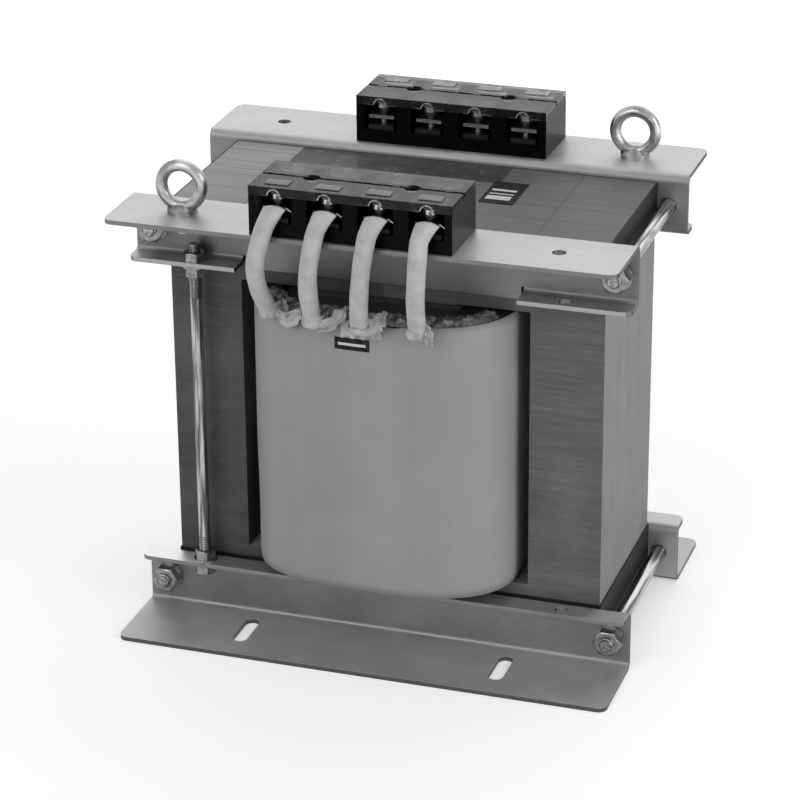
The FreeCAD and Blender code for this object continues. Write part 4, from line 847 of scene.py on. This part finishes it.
def sleeve(number):
    """A sleeve from its foot to its mouth, turned in over a thick wall and hollow behind the mouth.

    Each ring is the sleeve's radius times two small waves, one along it and one round it. Over the last
    sixth, rings become ovals, wide and thin, like a pressed hose. They also turn from square to the line
    to nearly level: a point's height becomes the line's, less a slope and a droop at both sides.
    """
    cell, midway, low = CELLS[number], MIDWAYS[number], FEET[number]
    out = min(FLANGE_EDGE - SLEEVE, BLOCK_FACE - 0.009)
    wall = -coil_front(np.array(low), SLEEVE + SLEEVE_WALL)
    fall = WIRE_LEVEL - WRAP_TOP
    route = [
        (low, wall, LEAD_FOOT),
        (low, wall, WRAP_TOP + 0.035 * fall),
        ((midway + low) / 2, 0.7 * out + 0.3 * wall, WRAP_TOP + 0.27 * fall),
        (midway, out - 0.25 * SLEEVE, WIRE_LEVEL - 0.475 * fall),
        (0.35 * cell + 0.65 * midway, out - 0.45 * SLEEVE, WIRE_LEVEL - 0.25 * fall),
        (0.75 * cell + 0.25 * midway - 0.001, out - 0.3 * SLEEVE, WIRE_LEVEL - 0.1 * fall),
        (cell - 0.0014, out - 0.1 * SLEEVE, WIRE_LEVEL - 0.001),
        (cell + 0.0024, BLOCK_FACE - 0.75 * SLEEVE, WIRE_LEVEL + 1.45 * SLEEVE),
    ]
    line = follow(route, SLEEVE_RINGS)
    turn = (2 * np.pi * np.arange(SLEEVE_SIDES) / SLEEVE_SIDES)[None, :]
    share = np.linspace(0, 1, SLEEVE_RINGS)[:, None]
    pinch = 1 + 0.022 * waves(40 + number, 6, 1, 26, share + 0 * turn)
    pinch = pinch + 0.012 * waves(50 + number, 4, 1, 3, turn + 9 * share)
    pressed = np.clip((share - 0.84) / 0.16, 0, 1) ** 1.6
    wide, deep = 1 + 0.38 * pressed, 1 - 0.55 * pressed
    oval = 1 / np.sqrt((np.cos(turn) / wide) ** 2 + (np.sin(turn) / deep) ** 2)
    outer = SLEEVE * pinch * oval
    outer[0] = TIP_RADIUS
    inner = outer[::-1][:TURNED_IN] - SLEEVE_WALL - 0.0004 * np.linspace(0, 1, TURNED_IN)[:, None]
    inner[-1] = TIP_RADIUS
    rings = np.concatenate([tube(line, outer), tube(line[-TURNED_IN:], inner[::-1])[::-1]])
    middle = np.concatenate([line, line[-TURNED_IN:][::-1]])[:, None]
    aside = rings - middle
    level = middle[..., 2] - 0.3 * aside[..., 1] - 0.05 * aside[..., 0] - 30 * aside[..., 0] ** 2
    pressed = np.concatenate([pressed, pressed[-TURNED_IN:][::-1]])
    rings[..., 2] += pressed * (level - rings[..., 2])
    return line, rings


weave_glass, tree, inputs, place = finish("woven_glass_sleeve")
plait = add_node(tree, "ShaderNodeTexVoronoi", Vector=place, Scale=1100.0).outputs["Distance"]
soiled = noise(tree, place, 120.0, 4.0, 0.6)
tree.links.new(shades(tree, soiled, (0.35, 0.47), (0.65, 0.58)), inputs["Base Color"])
inputs["Roughness"].default_value = 0.62
inputs["Sheen Weight"].default_value = 0.25
relief(tree, inputs, plait, 0.0003, 0.5)

tinned, tree, inputs, place = finish("tinned_strands")
dulled = noise(tree, place, 600.0, 2.0)
tree.links.new(shades(tree, dulled, (0.35, 0.35), (0.65, 0.6)), inputs["Base Color"])
inputs["Metallic"].default_value = 0.95
inputs["Roughness"].default_value = 0.3

# Seven strands leave each mouth and run in under the clamp, laid six round one. One more stands loose
# to the side.
STRAND, LAY, LOOSE = 0.00055, 0.00112, 0.0003
STRAND_RINGS, STRAND_SIDES = 40, 10
UNDER_CLAMP = ((-0.1215, 0.0012), (-0.1185, 0.0), (-0.1148, 0.0))
LOOSE_END = ((0.0072, 0.0008, -0.0012), (0.0092, 0.0004, -0.0019), (0.0112, 0.0, -0.0032))

wires = []
for number in range(4):
    line, rings = sleeve(number)
    faces = grid_faces(*rings.shape[:2], close_columns=True)
    cover = set_mesh(f"lead_sleeve_{number + 1}", rings, faces, closed=True)
    cover.data.materials.append(weave_glass)
    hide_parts(f"lead_{number + 1}")
    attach(cover, "root")
    mouth = line[-1]
    clamped = [(CELLS[number], y, WIRE_LEVEL + lifted) for y, lifted in UNDER_CLAMP]
    core = follow([line[-14], line[-7], mouth + (0, 0.0012, -0.0006), *clamped], STRAND_RINGS)
    tapered = np.where(np.isin(np.arange(STRAND_RINGS), (0, STRAND_RINGS - 1)), 0.001, 1)
    for strand in range(7):
        turn = 2 * math.pi * (strand / 6 + np.linspace(0, 0.9, STRAND_RINGS))
        lay = LAY * (strand < 6) * np.stack([np.cos(turn), 0 * turn, np.sin(turn)], axis=1)
        wires.append(tube(core + lay, STRAND * tapered, sides=STRAND_SIDES))
    loose = follow([mouth + bent for bent in LOOSE_END], STRAND_RINGS)
    wires.append(tube(loose, LOOSE * tapered, sides=STRAND_SIDES))
strands = set_tubes("lead_strands", wires)
strands.data.materials.append(tinned)
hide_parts("lead_wires")
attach(strands, "root")

# Tape: pale woven tape binds each lead's foot to the rim of the wrap. It is wound by hand, torn off
# and pressed down with varnish, so its ends are ragged and stand up beside the leads.

HUMP, HUMP_HALF, SINKING = 0.0138, 0.0078, 0.006


def hood(seed, low, left, right, top, foot_left, foot_right):
    """A flap of tape that covers a lead's foot and lies on the wrap at each side.

    Across, it runs from left to right of the lead; down, from the top to a slanting ragged foot.
    Its standoff is a round hump over the sleeve that sinks onto the wrap towards the foot.
    """
    across = np.linspace(0, 1, 61)[None, :]
    down = np.linspace(0, 1, 41)[:, None]
    x = low - left + (left + right) * across + 0.0005 * waves(seed, 3, 2, 9, down, across)
    foot = foot_left + (foot_right - foot_left) * across + 0.0007 * waves(seed + 1, 5, 8, 30, across)
    head = top + 0.0009 * waves(seed + 2, 4, 5, 18, across)
    z = head + (foot - head) * down
    hump = HUMP * np.sqrt(np.clip(1 - ((x - low) / HUMP_HALF) ** 2, 0, 1)) ** 0.9
    sink = 1 - 0.96 * np.clip((LEAD_FOOT + 0.0015 - z) / SINKING, 0, 1) ** 1.4
    standoff = 0.0006 + hump * sink + 0.0003 * (1 + waves(seed + 3, 5, 4, 16, across, down))
    return np.stack(np.broadcast_arrays(x, -coil_front(x) - standoff, z), axis=-1)


RIBBON_STEPS = 61


def torn_strip(seed, width, *spine):
    """A ragged ribbon along a curve, with its width up and down.

    The width swings about its middle and narrows at both ends. The ribbon stands forward by the square
    of the place across it, for its curl, and by small waves, for its creases.
    """
    middle = follow(spine, RIBBON_STEPS)
    across = np.linspace(-1, 1, 15)[None, :]
    along = np.linspace(0, 1, RIBBON_STEPS)[:, None]
    ahead = np.gradient(middle, axis=0)
    upward = np.stack([-ahead[:, 2], 0 * ahead[:, 0], ahead[:, 0]], axis=1)
    upward /= np.linalg.norm(upward, axis=1, keepdims=True)
    half = width / 2 * (1 + 0.22 * waves(seed, 5, 6, 34, along, 0.3 * across))
    half = half * np.clip(4 * along, 0.35, 1) * np.clip(4 - 4 * along, 0.3, 1)
    points = middle[:, None] + (half * across)[..., None] * upward[:, None]
    curl = 0.0009 * across ** 2 + 0.0008 * waves(seed + 1, 4, 3, 12, along, across)
    points[..., 1] -= curl
    return points


glass_tape, tree, inputs, place = finish("torn_glass_tape")
threads = streaked(tree, place, (1500, 200, 260), (260, 200, 1900), 0.5)
soaked = noise(tree, place, 130.0, 5.0, 0.6)
tree.links.new(shades(tree, soaked, (0.36, 0.34), (0.5, 0.46), (0.64, 0.6)), inputs["Base Color"])
inputs["Roughness"].default_value = 0.55
relief(tree, inputs, threads, 0.0004, 0.6)

# Flaps over the leads' feet: the seed, the lead, how far left and right, the top, and the foot's two ends.
FLAPS = (
    (60, 0, 0.0085, 0.0125, 0.2555, 0.2385, 0.2445),
    (64, 1, 0.0080, 0.0090, 0.2515, 0.2462, 0.2370),
    (68, 2, 0.0150, 0.0130, 0.2480, 0.2362, 0.2368),
    (72, 3, 0.0072, 0.0080, 0.2500, 0.2468, 0.2358),
)
# Ribbons beside the feet: the seed, the width, and points as a place across, a place ahead of the wrap's
# front, and a height.
FRONT = -0.1135
RIBBONS = (
    (80, 0.0085, (-0.0575, 0.0, 0.2520), (-0.0515, 0.001, 0.2435),
     (-0.0455, 0.001, 0.2440), (-0.0385, 0.003, 0.2555)),
    (84, 0.0080, (-0.0270, 0.006, 0.2415), (-0.0200, 0.005, 0.2450),
     (-0.0150, 0.002, 0.2500), (-0.0095, -0.004, 0.2560)),
    (88, 0.0095, (0.0070, 0.006, 0.2440), (0.0110, 0.005, 0.2480),
     (0.0145, 0.001, 0.2530), (0.0170, -0.003, 0.2560)),
    (92, 0.0055, (0.0455, 0.006, 0.2560), (0.0478, 0.006, 0.2500),
     (0.0480, 0.005, 0.2440), (0.0475, 0.002, 0.2375)),
)
flaps = [hood(seed, FEET[lead], *sizes) for seed, lead, *sizes in FLAPS]
ribbons = [
    torn_strip(seed, width, *[(x, FRONT - ahead, z) for x, ahead, z in points])
    for seed, width, *points in RIBBONS
]
for number, points in enumerate(flaps + ribbons, 1):
    faces = grid_faces(*points.shape[:2])
    torn = set_mesh(f"torn_tape_{number}", points, faces if number > len(flaps) else faces[:, ::-1])
    torn.data.materials.append(glass_tape)
    thicken(torn, 0.0005, 1.0)
    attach(torn, "root")
    if number == 1:
        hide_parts("lead_tapes")

# Plates: a small dark film stuck on the wrap under the third lead and a larger one on the core's
# top, both with blank pale fields.

# The fields, each as a middle and a half width: three on the core's top and one on the wrap.
TOP_FIELDS, TOP_ACROSS = ((0.0192, 0.0018), (0.0118, 0.0010), (0.0040, 0.0038)), (0.0575, 0.0085)
LOW_FIELD, LOW_ACROSS = (0.2307, 0.0009), (-0.0065, 0.0095)

film, tree, inputs, place = finish("dark_film")
grime = noise(tree, place, 200.0, 4.0)
axes = parts(tree, place)
on_top = beyond(tree, axes["Z"], 0.28)
fields = 0.0
for middle, half in TOP_FIELDS:
    fields = calc(tree, "MAXIMUM", fields, within(tree, axes["Y"], middle, half))
fields = times(tree, fields, within(tree, axes["X"], *TOP_ACROSS), on_top)
low_field = times(tree, within(tree, axes["Z"], *LOW_FIELD), within(tree, axes["X"], *LOW_ACROSS))
ink = shades(tree, grime, (0.35, 0.006), (0.65, 0.03))
tree.links.new(blend(tree, calc(tree, "MAXIMUM", fields, low_field), ink, 0.7), inputs["Base Color"])
inputs["Roughness"].default_value = 0.5
inputs["Specular IOR Level"].default_value = 0.1

# The front film follows the wrap at a small gap, and the top film waves a little over the steel.
across = np.linspace(-0.0185, 0.0055, 41)[None, :]
upward = np.linspace(0.2268, 0.2350, 13)[:, None]
front_points = np.broadcast_arrays(across, -coil_front(across) - 0.0004, upward)
across = np.linspace(0.0465, 0.0705, 25)[None, :]
depth = np.linspace(-0.0065, 0.0355, 43)[:, None]
top_points = np.broadcast_arrays(across, depth, 0.2982 + 0.00015 * waves(97, 4, 40, 160, across, depth))
for name, points in (("front_film", front_points), ("top_film", top_points)):
    plate = set_mesh(name, np.stack(points, axis=-1), grid_faces(*points[0].shape))
    plate.data.materials.append(film)
    thicken(plate, 0.0003, 0.0)
    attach(plate, "root")
